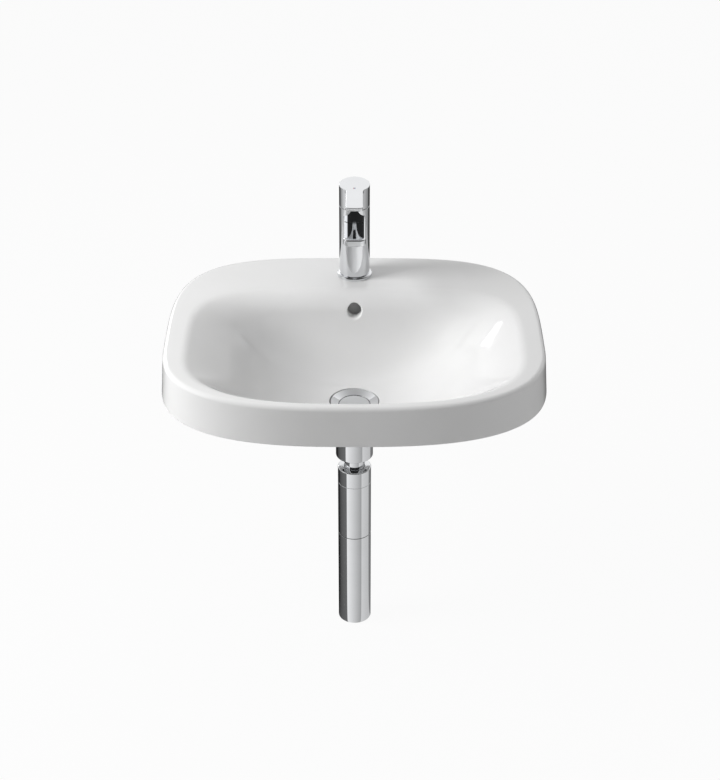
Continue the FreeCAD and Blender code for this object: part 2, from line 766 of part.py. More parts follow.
trap_body = new_body("trap_body", "0", "waste_y")
turn(trap_body, "trap_body_outside", [
    ("0", "trap_seam"),
    ("trap_diameter / 2", "trap_seam"),
    ("trap_diameter / 2", "trap_shoulder"),
    ("neck_thread_radius", "trap_shoulder"),
    ("neck_thread_radius", "trap_neck_top"),
    ("0", "trap_neck_top"),
])
boss = trap_body.newObject("PartDesign::AdditiveCylinder", "outlet_boss")
seat(boss, "0", "0", "outlet_level", ALONG_Y)
bind(boss, Radius="outlet_thread_radius", Height="outlet_boss_end")
turn(trap_body, "trap_body_inside", [
    ("0", "trap_seam - overcut"),
    ("trap_diameter / 2 - trap_wall", "trap_seam - overcut"),
    ("trap_diameter / 2 - trap_wall", "trap_shoulder - trap_roof"),
    ("dip_tube_diameter / 2 + running_clearance", "trap_shoulder - trap_roof"),
    ("dip_tube_diameter / 2 + running_clearance", "trap_neck_top + overcut"),
    ("0", "trap_neck_top + overcut"),
], "Groove")
drill(trap_body, "outlet_bore", "outlet_diameter + 2 * running_clearance", "outlet_insert + overcut",
      y="outlet_boss_end - outlet_insert", z="outlet_level", rotation=ALONG_Y)
drill(trap_body, "outlet_way", "outlet_passage",
      "outlet_boss_end - dip_tube_diameter / 2 - outlet_passage_gap",
      y="dip_tube_diameter / 2 + outlet_passage_gap", z="outlet_level", rotation=ALONG_Y)

ring("cup_seal", "trap_diameter / 2 - trap_wall", "trap_diameter / 2 - cup_seal_inset",
     "cup_shoulder", "trap_seam", "waste_y")
trap_cup = turned("trap_cup", [
    ("0", "cup_bottom"),
    ("trap_diameter / 2", "cup_bottom"),
    ("trap_diameter / 2", "cup_shoulder"),
    ("trap_diameter / 2 - trap_wall - thread_clearance", "cup_shoulder"),
    ("trap_diameter / 2 - trap_wall - thread_clearance", "cup_shoulder + cup_spigot"),
    ("trap_diameter / 2 - 2 * trap_wall", "cup_shoulder + cup_spigot"),
    ("trap_diameter / 2 - 2 * trap_wall", "cup_bottom + cup_floor"),
    ("0", "cup_bottom + cup_floor"),
], y="waste_y")
round_edges(trap_cup, "cup_edge", "cup_edge_radius", circle_at("trap_diameter / 2", "cup_bottom"))


def turned_along_y(label, corners):
    """Make a piece of the outlet: an outline of radius and distance from the trap's axis, turned about Y."""
    body = turned(label, corners)
    seat(body, "0", "waste_y", "outlet_level", ALONG_Y)
    return body


turned_along_y("outlet_nut", [
    ("outlet_thread_radius + thread_clearance", "outlet_nut_end - outlet_nut_height"),
    ("outlet_nut_diameter / 2", "outlet_nut_end - outlet_nut_height"),
    ("outlet_nut_diameter / 2", "outlet_nut_end - nut_chamfer"),
    ("outlet_nut_diameter / 2 - nut_chamfer", "outlet_nut_end"),
    ("outlet_diameter / 2 + running_clearance", "outlet_nut_end"),
    ("outlet_diameter / 2 + running_clearance", "outlet_boss_end + outlet_seal"),
    ("outlet_thread_radius + thread_clearance", "outlet_boss_end + outlet_seal"),
])
turned_along_y("outlet_seal", [
    ("outlet_diameter / 2 + thread_clearance", "outlet_boss_end"),
    ("outlet_thread_radius", "outlet_boss_end"),
    ("outlet_thread_radius", "outlet_boss_end + outlet_seal"),
    ("outlet_diameter / 2 + thread_clearance", "outlet_boss_end + outlet_seal"),
])
turned_along_y("outlet_pipe", [
    ("outlet_diameter / 2 - outlet_wall", "outlet_boss_end - outlet_insert"),
    ("outlet_diameter / 2", "outlet_boss_end - outlet_insert"),
    ("outlet_diameter / 2", "outlet_reach + pipe_past_rosette"),
    ("outlet_diameter / 2 - outlet_wall", "outlet_reach + pipe_past_rosette"),
])
turned_along_y("wall_rosette", [
    ("outlet_diameter / 2 + running_clearance", "outlet_reach - rosette_depth"),
    ("outlet_diameter / 2 + rosette_collar", "outlet_reach - rosette_depth"),
    ("rosette_diameter / 2", "outlet_reach - rosette_wall"),
    ("rosette_diameter / 2", "outlet_reach"),
    ("rosette_diameter / 2 - rosette_wall", "outlet_reach"),
    ("outlet_diameter / 2 + rosette_collar - rosette_wall / 2", "rosette_inside"),
    ("outlet_diameter / 2 + running_clearance", "rosette_inside"),
])

# Mixer, on the tap axis.
ring("base_seal", "tap_hole / 2 + tap_hole_margin",
     "base_ring_diameter / 2 - base_ring_wall - running_clearance", "deck", "deck + base_seal", "tap_y")
turned("base_ring", [
    ("tap_hole / 2 + tap_hole_margin", "deck + base_seal"),
    ("base_ring_diameter / 2 - base_ring_wall", "deck + base_seal"),
    ("base_ring_diameter / 2 - base_ring_wall", "deck"),
    ("base_ring_diameter / 2", "deck"),
    ("base_ring_diameter / 2", "body_foot - base_ring_slope"),
    ("base_ring_diameter / 2 - base_ring_slope", "body_foot"),
    ("tap_hole / 2 + tap_hole_margin", "body_foot"),
], y="tap_y")

mixer_body = new_body("mixer_body", "0", "tap_y")
turn(mixer_body, "mixer_column", [
    ("0", "body_foot"),
    ("mixer_diameter / 2", "body_foot"),
    ("mixer_diameter / 2", "body_top"),
    ("0", "body_top"),
])
extrude(mixer_body, "spout", "Pad", [
    ("0", "spout_level"),
    ("-spout_reach", "spout_level"),
    ("-spout_reach", "spout_under"),
    ("spout_flat - spout_reach", "spout_under"),
    ("-mixer_diameter / 4", "spout_level - spout_root_thickness"),
    ("0", "spout_level - spout_root_thickness"),
], "spout_width")
round_edges(mixer_body, "spout_corners", "spout_corner_radius", upright_at("spout_width / 2", "-spout_reach"))


def spout_rim(edge):
    """Test for the edges around the spout's flat top and its tip's underside, clear of the column."""
    box = edge.BoundBox
    level = any(abs(box.ZMin - size(z)) < NEAR and abs(box.ZMax - size(z)) < NEAR
                for z in ("spout_level", "spout_under"))
    ahead = box.YMin < size("-mixer_diameter / 2 - overcut")
    return level and ahead and box.XLength < size("spout_width - overcut")


round_edges(mixer_body, "spout_rim", "spout_edge_radius", spout_rim)
turn(mixer_body, "cartridge_bore", [
    ("0", "cartridge_level"),
    ("cartridge_diameter / 2 + running_clearance", "cartridge_level"),
    ("cartridge_diameter / 2 + running_clearance", "body_top + overcut"),
    ("0", "body_top + overcut"),
], "Groove")
drill(mixer_body, "aerator_seat", "aerator_diameter + 2 * thread_clearance",
      "aerator_height + aerator_seal + overcut", y="-aerator_reach", z="spout_under - overcut")
drill(mixer_body, "waterway", "waterway_diameter", "aerator_reach - cartridge_diameter / 2 + 2 * overcut",
      y="-aerator_reach", z="aerator_top + aerator_seal - waterway_diameter / 2", rotation=ALONG_Y)
turn(mixer_body, "block_seat", [
    ("0", "body_foot - overcut"),
    ("inlet_block_diameter / 2 + thread_clearance", "body_foot - overcut"),
    ("inlet_block_diameter / 2 + thread_clearance", "block_top"),
    ("0", "block_top"),
], "Groove")
inlet_block = turned("inlet_block", [
    ("0", "body_foot"),
    ("inlet_block_diameter / 2", "body_foot"),
    ("inlet_block_diameter / 2", "block_top"),
    ("0", "block_top"),
], y="tap_y")
for side, sign in (("cold", ""), ("hot", "-")):
    drill(inlet_block, side + "_inlet", "inlet_thread", "inlet_depth + 2 * overcut",
          x=sign + "inlet_spread / 2", y="-inlet_forward", z="body_foot - overcut")
    drill(mixer_body, side + "_passage", "waterway_diameter", "cartridge_level - block_top + 2 * overcut",
          x=sign + "inlet_spread / 2", y="-inlet_forward", z="block_top - overcut")
drill(inlet_block, "stud_hole", "stud_diameter + 2 * thread_clearance", "stud_depth + overcut",
      y="stud_back", z="body_foot - overcut")

ring("cartridge_seal", "disc_diameter / 2", "disc_diameter / 2 + cartridge_seal_width",
     "cartridge_level", "cartridge_level + cartridge_seal", "tap_y")
cartridge_base = turned("cartridge_base", [
    ("0", "cartridge_level + cartridge_seal"),
    ("cartridge_diameter / 2", "cartridge_level + cartridge_seal"),
    ("cartridge_diameter / 2", "disc_level"),
    ("0", "disc_level"),
], y="tap_y")
fixed_disc = turned("fixed_disc", [
    ("0", "disc_level"),
    ("disc_diameter / 2", "disc_level"),
    ("disc_diameter / 2", "disc_level + fixed_disc"),
    ("0", "disc_level + fixed_disc"),
], y="tap_y")
for piece, low, high in ((cartridge_base, "cartridge_level + cartridge_seal", "disc_level"),
                         (fixed_disc, "disc_level", "disc_level + fixed_disc")):
    for side, x, y in (("cold", "inlet_spread / 2", "-inlet_forward"),
                       ("hot", "-inlet_spread / 2", "-inlet_forward"),
                       ("mixed", "0", "inlet_spread / 2")):
        drill(piece, "%s_%s_port" % (piece.Label, side), "waterway_diameter",
              "%s - (%s) + 2 * overcut" % (high, low), x=x, y=y, z="%s - overcut" % low)
turned("moving_disc", [
    ("0", "moving_disc_under"),
    ("carrier_diameter / 2", "moving_disc_under"),
    ("carrier_diameter / 2", "carrier_under"),
    ("0", "carrier_under"),
], y="tap_y")
turned("cartridge_housing", [
    ("disc_diameter / 2 + running_clearance", "disc_level"),
    ("cartridge_diameter / 2", "disc_level"),
    ("cartridge_diameter / 2", "housing_top"),
    ("carrier_diameter / 2 + running_clearance", "housing_top"),
    ("carrier_diameter / 2 + running_clearance", "carrier_under"),
    ("disc_diameter / 2 + running_clearance", "carrier_under"),
], y="tap_y")
carrier = turned("cartridge_carrier", [
    ("0", "carrier_under"),
    ("carrier_diameter / 2", "carrier_under"),
    ("carrier_diameter / 2", "carrier_under + carrier_height"),
    ("0", "carrier_under + carrier_height"),
], y="tap_y")
carve(carrier, "stem_slot", "Subtractive",
      ("lever_stem_diameter + 2 * running_clearance", "2 * lever_stem_diameter",
       "carrier_height + 2 * overcut"),
      ("-lever_stem_diameter / 2 - running_clearance", "-lever_stem_diameter", "carrier_under - overcut"))
drill(carrier, "pin_hole", "pivot_pin_diameter + pin_hole_play", "carrier_diameter + 2 * overcut",
      x="-carrier_diameter / 2 - overcut", z="pivot_level", rotation=ALONG_X)
pivot_pin = doc.addObject("Part::Cylinder", "pivot_pin")
pivot_pin.Label = "pivot_pin"
bind(pivot_pin, Radius="pivot_pin_diameter / 2", Height="carrier_diameter - 2 * pivot_pin_inset")
seat(pivot_pin, "pivot_pin_inset - carrier_diameter / 2", "tap_y", "pivot_level", ALONG_X)
sub_parts.append(pivot_pin)
lever_stem = turned("lever_stem", [
    ("0", "pivot_level - lever_stem_below"),
    ("lever_stem_diameter / 2", "pivot_level - lever_stem_below"),
    ("lever_stem_diameter / 2", "stem_top"),
    ("0", "stem_top"),
], y="tap_y")
drill(lever_stem, "stem_pin_hole", "pivot_pin_diameter + 2 * pin_clearance",
      "lever_stem_diameter + 2 * overcut", x="-lever_stem_diameter / 2 - overcut", z="pivot_level",
      rotation=ALONG_X)
ring("cartridge_nut", "carrier_diameter / 2 + 2 * running_clearance",
     "cartridge_diameter / 2 + running_clearance - thread_clearance", "housing_top", "nut_top", "tap_y")


def sphere(name, radius):
    """Make a ball about the lever's pivot."""
    ball = doc.addObject("Part::Sphere", name)
    bind(ball, Radius=radius)
    seat(ball, "0", "tap_y", "pivot_level")
    return ball


dome_band = doc.addObject("Part::Cylinder", "dome_band")
bind(dome_band, Radius="dome_radius", Height="dome_radius")
seat(dome_band, "0", "tap_y", "nut_top")
dome_hole = doc.addObject("Part::Cylinder", "dome_hole")
bind(dome_hole, Radius="dome_opening / 2", Height="2 * dome_radius")
seat(dome_hole, "0", "tap_y", "pivot_level")
dome_outer = doc.addObject("Part::Common", "dome_outer")
dome_outer.Base = sphere("dome_ball", "dome_radius")
dome_outer.Tool = dome_band
dome_shell = doc.addObject("Part::Cut", "dome_shell")
dome_shell.Base = dome_outer
dome_shell.Tool = sphere("dome_inside", "dome_radius - dome_wall")
dome_cap = doc.addObject("Part::Cut", "dome_cap")
dome_cap.Label = "dome_cap"
dome_cap.Base = dome_shell
dome_cap.Tool = dome_hole
sub_parts.append(dome_cap)

handle = new_body("lever_handle", "0", "tap_y")
turn(handle, "handle_column", [
    ("0", "handle_foot"),
    ("mixer_diameter / 2", "handle_foot"),
    ("mixer_diameter / 2", "handle_top + mixer_diameter / 2"),
    ("0", "handle_top + mixer_diameter / 2"),
])
extrude(handle, "handle_top_slope", "Pocket", [
    ("-mixer_diameter", "handle_top - mixer_diameter * tan(handle_slope)"),
    ("mixer_diameter", "handle_top + mixer_diameter * tan(handle_slope)"),
    ("mixer_diameter", "handle_top + 2 * mixer_diameter"),
    ("-mixer_diameter", "handle_top + 2 * mixer_diameter"),
], "2 * mixer_diameter")
tongue = outline_sketch(handle, "XY_Plane", "tongue_outline", [
    ("-root_x", "-root_y", "-tongue_root_radius"),
    ("-tongue_width / 2", "-root_start"),
    ("-tongue_width / 2", "tongue_tip_radius - tongue_reach", "tongue_tip_radius"),
    ("tongue_tip_radius - tongue_width / 2", "-tongue_reach", "tongue_bow"),
    ("tongue_width / 2 - tongue_tip_radius", "-tongue_reach", "tongue_tip_radius"),
    ("tongue_width / 2", "tongue_tip_radius - tongue_reach"),
    ("tongue_width / 2", "-root_start", "-tongue_root_radius"),
    ("root_x", "-root_y"),
    ("0", "-root_y / 2"),
])
slope_turn = FreeCAD.Rotation(FreeCAD.Vector(1, 0, 0), size("handle_slope"))
tongue.AttachmentOffset = FreeCAD.Placement(FreeCAD.Vector(), slope_turn)
tongue.setExpression("AttachmentOffset.Base.z", bound("handle_top"))
tongue_pad = handle.newObject("PartDesign::Pad", "tongue")
tongue_pad.Profile = tongue
tongue_pad.Reversed = True
bind(tongue_pad, Length="tongue_thickness")

turn(handle, "handle_inside", [
    ("0", "handle_foot - overcut"),
    ("handle_bore", "handle_foot - overcut"),
    ("handle_bore", "handle_top - handle_roof"),
    ("handle_boss_diameter / 2", "handle_top - handle_roof"),
    ("handle_boss_diameter / 2", "boss_foot"),
    ("0", "boss_foot"),
], "Groove")
extrude(handle, "rear_wedge", "Pocket", [
    ("-wedge_start", "handle_foot"),
    ("mixer_diameter", "handle_foot + (mixer_diameter + wedge_start) * tan(lever_lift + wedge_margin)"),
    ("mixer_diameter", "handle_foot - overcut"),
    ("-wedge_start", "handle_foot - overcut"),
], "2 * mixer_diameter")
drill(handle, "stem_socket", "lever_stem_diameter + 2 * thread_clearance",
      "stem_top - boss_foot + overcut + thread_clearance", z="boss_foot - overcut")
drill(handle, "screw_hole", "handle_screw_diameter + 2 * thread_clearance", "mixer_diameter",
      z="deck + handle_screw_level", rotation=ALONG_Y)
drill(handle, "index_recess", "index_diameter + 2 * thread_clearance", "index_depth + overcut",
      y="index_y", z="index_level", rotation=slope_turn)

handle_screw = doc.addObject("Part::Cylinder", "handle_screw")
handle_screw.Label = "handle_screw"
bind(handle_screw, Radius="handle_screw_diameter / 2", Height="handle_screw_length")
seat(handle_screw, "0", "tap_y + lever_stem_diameter / 2 + thread_clearance",
     "deck + handle_screw_level", ALONG_Y)
sub_parts.append(handle_screw)
index_marker = doc.addObject("Part::Cylinder", "index_marker")
index_marker.Label = "index_marker"
bind(index_marker, Radius="index_diameter / 2", Height="index_depth")
seat(index_marker, "0", "tap_y + index_y", "index_level", slope_turn)
sub_parts.append(index_marker)

aerator_y = "tap_y - aerator_reach"
ring("aerator_housing", "aerator_diameter / 2 - aerator_wall", "aerator_diameter / 2",
     "spout_under", "aerator_top", aerator_y)
aerator_insert = turned("aerator_insert", [
    ("0", "spout_under + aerator_recess"),
    ("aerator_diameter / 2 - aerator_wall - thread_clearance", "spout_under + aerator_recess"),
    ("aerator_diameter / 2 - aerator_wall - thread_clearance", "aerator_top"),
    ("0", "aerator_top"),
], y=aerator_y)
# Rings of mesh holes: how many, and at what share of the insert's radius.
MESH_RINGS = ((1, 0.0), (6, 0.36), (12, 0.72))
for count, share in MESH_RINGS:
    for step in range(count):
        angle = 360.0 * step / count
        radius = "(aerator_diameter / 2 - aerator_wall) * %s" % share
        drill(aerator_insert, "mesh_hole", "aerator_mesh_hole", "aerator_height + overcut",
              x="%s * cos(%s)" % (radius, angle), y="%s * sin(%s)" % (radius, angle), z="spout_under")
ring("aerator_seal", "aerator_diameter / 2 - 2 * aerator_wall", "aerator_diameter / 2",
     "aerator_top", "aerator_top + aerator_seal", aerator_y)

# Fixing under the deck.
stud_y = "tap_y + stud_back"
fixing_stud = doc.addObject("Part::Cylinder", "fixing_stud")
fixing_stud.Label = "fixing_stud"
bind(fixing_stud, Radius="stud_diameter / 2", Height="stud_length")
seat(fixing_stud, "0", stud_y, "body_foot + stud_depth - stud_length")
sub_parts.append(fixing_stud)


def horseshoe(label, bottom, thickness):
    """Make a clamp washer, open to the front for the supply pipes and drilled for the stud."""
    body = turned(label, [
        ("0", bottom),
        ("clamp_diameter / 2", bottom),
        ("clamp_diameter / 2", "%s + %s" % (bottom, thickness)),
        ("0", "%s + %s" % (bottom, thickness)),
    ], y="tap_y")
    carve(body, label + "_slot", "Subtractive",
          ("clamp_slot", "clamp_diameter / 2 + clamp_slot_end + overcut", thickness + " + 2 * overcut"),
          ("-clamp_slot / 2", "-clamp_diameter / 2 - overcut", "%s - overcut" % bottom))
    drill(body, label + "_hole", "stud_diameter + 2 * thread_clearance", thickness + " + 2 * overcut",
          y="stud_back", z="%s - overcut" % bottom)


horseshoe("clamp_rubber", "rubber_under", "clamp_rubber")
horseshoe("clamp_plate", "plate_under", "clamp_plate")
hexagon_nut("fixing_nut", "fixing_nut_across", "fixing_nut_height", "plate_under",
            "stud_diameter + 2 * thread_clearance", y=stud_y)

doc.recompute()

for thing in doc.Objects:
    if "Invalid" in thing.State or "Error" in thing.State:
        raise RuntimeError("%s did not rebuild: %s" % (thing.Label, thing.State))
for part in sub_parts:
    if part.Shape.isNull() or not part.Shape.isValid():
        raise RuntimeError("%s has no sound solid" % part.Label)

os.makedirs("parts", exist_ok=True)
for part in sub_parts:
    part.Shape.exportStep("parts/%s.step" % part.Label)
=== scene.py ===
"""Looks of an inset basin with its single-lever mixer, push-plug waste and bottle trap.

Lengths inside the pieces' classes are in millimetres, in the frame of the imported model: the origin lies at
the middle of the basin's foot, +Z is up and the user stands at -Y. The studio is in metres.
"""
import json
import logging
import math
from bisect import bisect_left
from dataclasses import dataclass
from enum import Enum
from typing import Iterable, Sequence

import bmesh
import bpy
from mathutils import Matrix, Vector


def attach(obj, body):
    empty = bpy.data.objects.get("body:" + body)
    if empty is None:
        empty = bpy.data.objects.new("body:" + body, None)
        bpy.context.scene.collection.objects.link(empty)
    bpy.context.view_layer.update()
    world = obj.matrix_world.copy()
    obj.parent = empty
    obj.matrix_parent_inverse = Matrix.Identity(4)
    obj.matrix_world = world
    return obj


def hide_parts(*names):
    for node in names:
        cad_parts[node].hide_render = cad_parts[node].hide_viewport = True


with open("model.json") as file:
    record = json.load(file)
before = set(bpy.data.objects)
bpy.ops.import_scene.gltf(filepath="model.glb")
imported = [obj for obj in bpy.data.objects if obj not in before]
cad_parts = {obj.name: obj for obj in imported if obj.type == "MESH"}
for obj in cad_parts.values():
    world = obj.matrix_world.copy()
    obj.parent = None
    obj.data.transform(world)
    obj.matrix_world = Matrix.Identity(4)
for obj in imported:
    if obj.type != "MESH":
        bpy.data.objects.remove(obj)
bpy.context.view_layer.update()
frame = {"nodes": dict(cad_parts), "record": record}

LOG = logging.getLogger("inset_basin")
MM = 0.001
FIXED = "basin_fixed"

# Distances in millimetres within which points are merged or count as level
WELD = 0.002
FINE_WELD = 0.001
FINEST_WELD = 0.0005
NEAR = 0.01

# How far a cutting tool reaches past the surface that it cuts
OVERCUT = 3.0

# Roundings of turned corners, from the finest to the fullest
HAIR = 0.15
CRISP = 0.2
FINE = 0.3
EASED = 0.4
SOFT = 0.5
SMOOTH = 0.7
ROUND = 1.0
FULL = 1.6

SHARP_DEG = 32.0
FINE_STEPS = 128
ROUND_STEPS = 5
FULL_TURN = 2 * math.pi
TINY = 1e-9

Mesh = bmesh.types.BMesh
Face = bmesh.types.BMFace
Piece = bpy.types.Object
Node = bpy.types.Node
Socket = bpy.types.NodeSocket
Point = Sequence[float]
Corner = tuple[float, float, float]
Colour = tuple[float, float, float]
Pairs = tuple[tuple[float, float], ...]
Loop = list[Vector]


class Carve(Enum):
    """How a tool shape works on a piece."""

    CUT = "DIFFERENCE"
    JOIN = "UNION"
    KEEP = "INTERSECT"


class Along(Enum):
    """The axis that a turned piece is spun about."""

    UP = "up"
    BACK = "back"


# Mesh tools

def linked(name: str, data: bpy.types.ID) -> Piece:
    """Make an object of its data and link it to the scene.

    Args:
        name: The object's name.
        data: Its mesh, camera or light.

    Returns:
        The new object.
    """
    made = bpy.data.objects.new(name, data)
    bpy.context.scene.collection.objects.link(made)
    return made


def as_object(name: str, mesh: Mesh) -> Piece:
    """Make an object of a mesh, which is used up.

    Args:
        name: The object's name.
        mesh: The mesh, in metres.

    Returns:
        The new object, linked to the scene.
    """
    data = bpy.data.meshes.new(name)
    mesh.to_mesh(data)
    mesh.free()
    return linked(name, data)


def finished(name: str, mesh: Mesh, sharp_deg: float = SHARP_DEG) -> Piece:
    """Turn a mesh in millimetres into an object in metres, smooth but for its sharp edges.

    Args:
        name: The piece's name.
        mesh: The mesh, which is used up.
        sharp_deg: Edges that turn by more than this stay sharp.

    Returns:
        The new object, linked to the scene.
    """
    bmesh.ops.remove_doubles(mesh, verts=mesh.verts, dist=WELD)
    bmesh.ops.recalc_face_normals(mesh, faces=mesh.faces)
    bmesh.ops.scale(mesh, vec=(MM, MM, MM), verts=mesh.verts)
    piece = as_object(name, mesh)
    smooth(piece, sharp_deg)
    return piece


def smooth(piece: Piece, sharp_deg: float) -> None:
    """Shade a piece smooth, apart from edges that turn by more than an angle."""
    piece.data.shade_smooth()
    piece.data.set_sharp_from_angle(angle=math.radians(sharp_deg))


def carve(piece: Piece, tool: Mesh, how: Carve, sharp_deg: float = SHARP_DEG) -> None:
    """Cut, join or keep the part of a piece that a tool shape covers.

    Args:
        piece: The piece, whose mesh is replaced.
        tool: The tool's mesh in millimetres, which is used up.
        how: The kind of work.
        sharp_deg: Edges that turn by more than this stay sharp.
    """
    cutter = finished("carving_tool", tool)
    step = piece.modifiers.new("carve", "BOOLEAN")
    step.operation = how.value
    step.solver = "EXACT"
    step.object = cutter
    bpy.context.view_layer.update()
    seen = piece.evaluated_get(bpy.context.evaluated_depsgraph_get())
    made = bpy.data.meshes.new_from_object(seen)
    piece.modifiers.clear()
    old = piece.data
    piece.data = made
    made.name = piece.name
    bpy.data.meshes.remove(old)
    spare = cutter.data
    bpy.data.objects.remove(cutter)
    bpy.data.meshes.remove(spare)
    smooth(piece, sharp_deg)


def place(mesh: Mesh, centre: Point, along: Along = Along.UP) -> Mesh:
    """Move a mesh that was made about the Z axis to its centre, laid back along Y where asked.

    Args:
        mesh: The mesh to move.
        centre: Where its origin goes.
        along: Which way its axis points.

    Returns:
        The same mesh.
    """
    turn = Matrix.Rotation(math.radians(-90.0), 4, "X") if along is Along.BACK else Matrix.Identity(4)
    bmesh.ops.transform(mesh, matrix=Matrix.Translation(Vector(centre)) @ turn, verts=mesh.verts)
    return mesh


def rounded(mesh: Mesh, parts: Sequence[bmesh.types.BMVert | bmesh.types.BMEdge], radius: float,
            steps: int = ROUND_STEPS) -> None:
    """Round off the edges of a solid or the corners of an outline.

    Args:
        mesh: The mesh to work on.
        parts: The edges, or the corners' vertices.
        radius: How far the rounding reaches.
        steps: How many faces it has.
    """
    affect = "VERTICES" if isinstance(parts[0], bmesh.types.BMVert) else "EDGES"
    bmesh.ops.bevel(mesh, geom=parts, offset=radius, offset_type="OFFSET", segments=steps, profile=0.5,
                    affect=affect, material=-1)


def spun(mesh: Mesh, turns: int, steps: int, rise: float = 0.0) -> None:
    """Spin an outline about Z.

    Args:
        mesh: The outline, which becomes a skin.
        turns: How many times it goes round.
        steps: How many faces that takes in all.
        rise: How far it climbs at each step. Without a rise, the turn's end joins its start.
    """
    bmesh.ops.spin(mesh, geom=mesh.verts[:] + mesh.edges[:], cent=(0, 0, 0), axis=(0, 0, 1),
                   dvec=(0, 0, rise), angle=FULL_TURN * turns, steps=steps, use_merge=rise == 0,
                   use_normal_flip=False, use_duplicate=False)


def turned(corners: Sequence[Corner], centre: Point = (0, 0, 0), along: Along = Along.UP,
           steps: int = 96) -> Mesh:
    """Spin an outline about an axis, with each of its corners rounded.

    Args:
        corners: Radius, height and rounding of each corner. An outline that starts on the axis ends there.
        centre: Where the axis stands.
        along: Which way the axis points.
        steps: How many faces go around.

    Returns:
        The closed turned mesh.
    """
    mesh = bmesh.new()
    verts = [mesh.verts.new((radius, 0, height)) for radius, height, _ in corners]
    ends = verts[1:] if corners[0][0] == 0 else verts[1:] + verts[:1]
    for start, end in zip(verts, ends):
        mesh.edges.new((start, end))
    for vert, (_, _, rounding) in zip(verts, corners):
        if rounding > 0:
            rounded(mesh, [vert], rounding)
    spun(mesh, 1, steps)
    bmesh.ops.remove_doubles(mesh, verts=mesh.verts, dist=FINE_WELD)
    bmesh.ops.recalc_face_normals(mesh, faces=mesh.faces)
    return place(mesh, centre, along)


def rod(radius: float, low: float, high: float, centre: Point, along: Along = Along.UP,
        steps: int = 64) -> Mesh:
    """Return a plain round tool shape between two distances along an axis."""
    return turned([(0, low, 0), (radius, low, 0), (radius, high, 0), (0, high, 0)], centre, along, steps)


def block(low: Point, high: Point) -> Mesh:
    """Return a square tool shape between two corners.

    Args:
        low: The lowest corner.
        high: The highest corner.

    Returns:
        The mesh.
    """
    mesh = bmesh.new()
    bmesh.ops.create_cube(mesh, size=1.0)
    span = Vector(high) - Vector(low)
    bmesh.ops.scale(mesh, vec=span, verts=mesh.verts)
    bmesh.ops.translate(mesh, vec=Vector(low) + span / 2, verts=mesh.verts)
    return mesh


def extruded(mesh: Mesh, faces: Iterable[Face], move: Point) -> tuple[list[Face], list[bmesh.types.BMVert]]:
    """Extrude a region and move it.

    Args:
        mesh: The mesh to work on.
        faces: The region. Its own faces go if it is part of a larger skin.
        move: How far it goes.

    Returns:
        The moved faces and their vertices.
    """
    region = list(faces)
    inside = set(region)
    joined = any(other not in inside for face in region for edge in face.edges for other in edge.link_faces)
    made = bmesh.ops.extrude_face_region(mesh, geom=region)["geom"]
    if joined:
        bmesh.ops.delete(mesh, geom=region, context="FACES")
    verts = [part for part in made if isinstance(part, bmesh.types.BMVert)]
    bmesh.ops.translate(mesh, vec=move, verts=verts)
    return [part for part in made if isinstance(part, Face)], verts


def bar(side: Sequence[tuple[float, float]], half: float) -> Mesh:
    """Return a solid that has one outline in Y and Z and reaches equally far to both sides.

    Args:
        side: The outline's corners.
        half: How far the solid reaches to each side.

    Returns:
        The mesh.
    """
    mesh = bmesh.new()
    face = mesh.faces.new([mesh.verts.new((-half, y, z)) for y, z in side])
    extruded(mesh, [face], (2 * half, 0, 0))
    return mesh


def sliced(mesh: Mesh, where: Point, way: Point, weld: float) -> None:
    """Cut a mesh at a plane and drop what lies on the side that the plane faces."""
    bmesh.ops.bisect_plane(mesh, geom=mesh.verts[:] + mesh.edges[:] + mesh.faces[:], dist=weld,
                           plane_co=where, plane_no=way, clear_outer=True)


def filled(mesh: Mesh) -> None:
    """Close every hole in a mesh."""
    bmesh.ops.holes_fill(mesh, edges=[edge for edge in mesh.edges if edge.is_boundary], sides=0)


def lofted(loops: Sequence[Loop]) -> Mesh:
    """Wrap a grid round closed loops in order, with the last loop joined to the first.

    Args:
        loops: The loops, which all have as many points.

    Returns:
        The closed mesh.
    """
    mesh = bmesh.new()
    count = len(loops[0])
    grid = bmesh.ops.create_grid(mesh, x_segments=count, y_segments=len(loops), size=1.0)["verts"]
    for place_in_grid, vert in enumerate(grid):
        row, column = divmod(place_in_grid, count + 1)
        vert.co = loops[row % len(loops)][column % count]
    bmesh.ops.remove_doubles(mesh, verts=mesh.verts, dist=FINEST_WELD)
    return mesh


def blended(start: Loop, end: Loop, share: float) -> Loop:
    """Return the loop that lies a share of the way from one loop to another."""
    return [low.lerp(high, share) for low, high in zip(start, end)]


def clamped(share: float) -> float:
    """Return a share kept between 0 and 1."""
    return min(1.0, max(0.0, share))


# Finishes

def grey(tone: float) -> tuple[float, float, float, float]:
    """Return an opaque grey."""
    return tone, tone, tone, 1.0


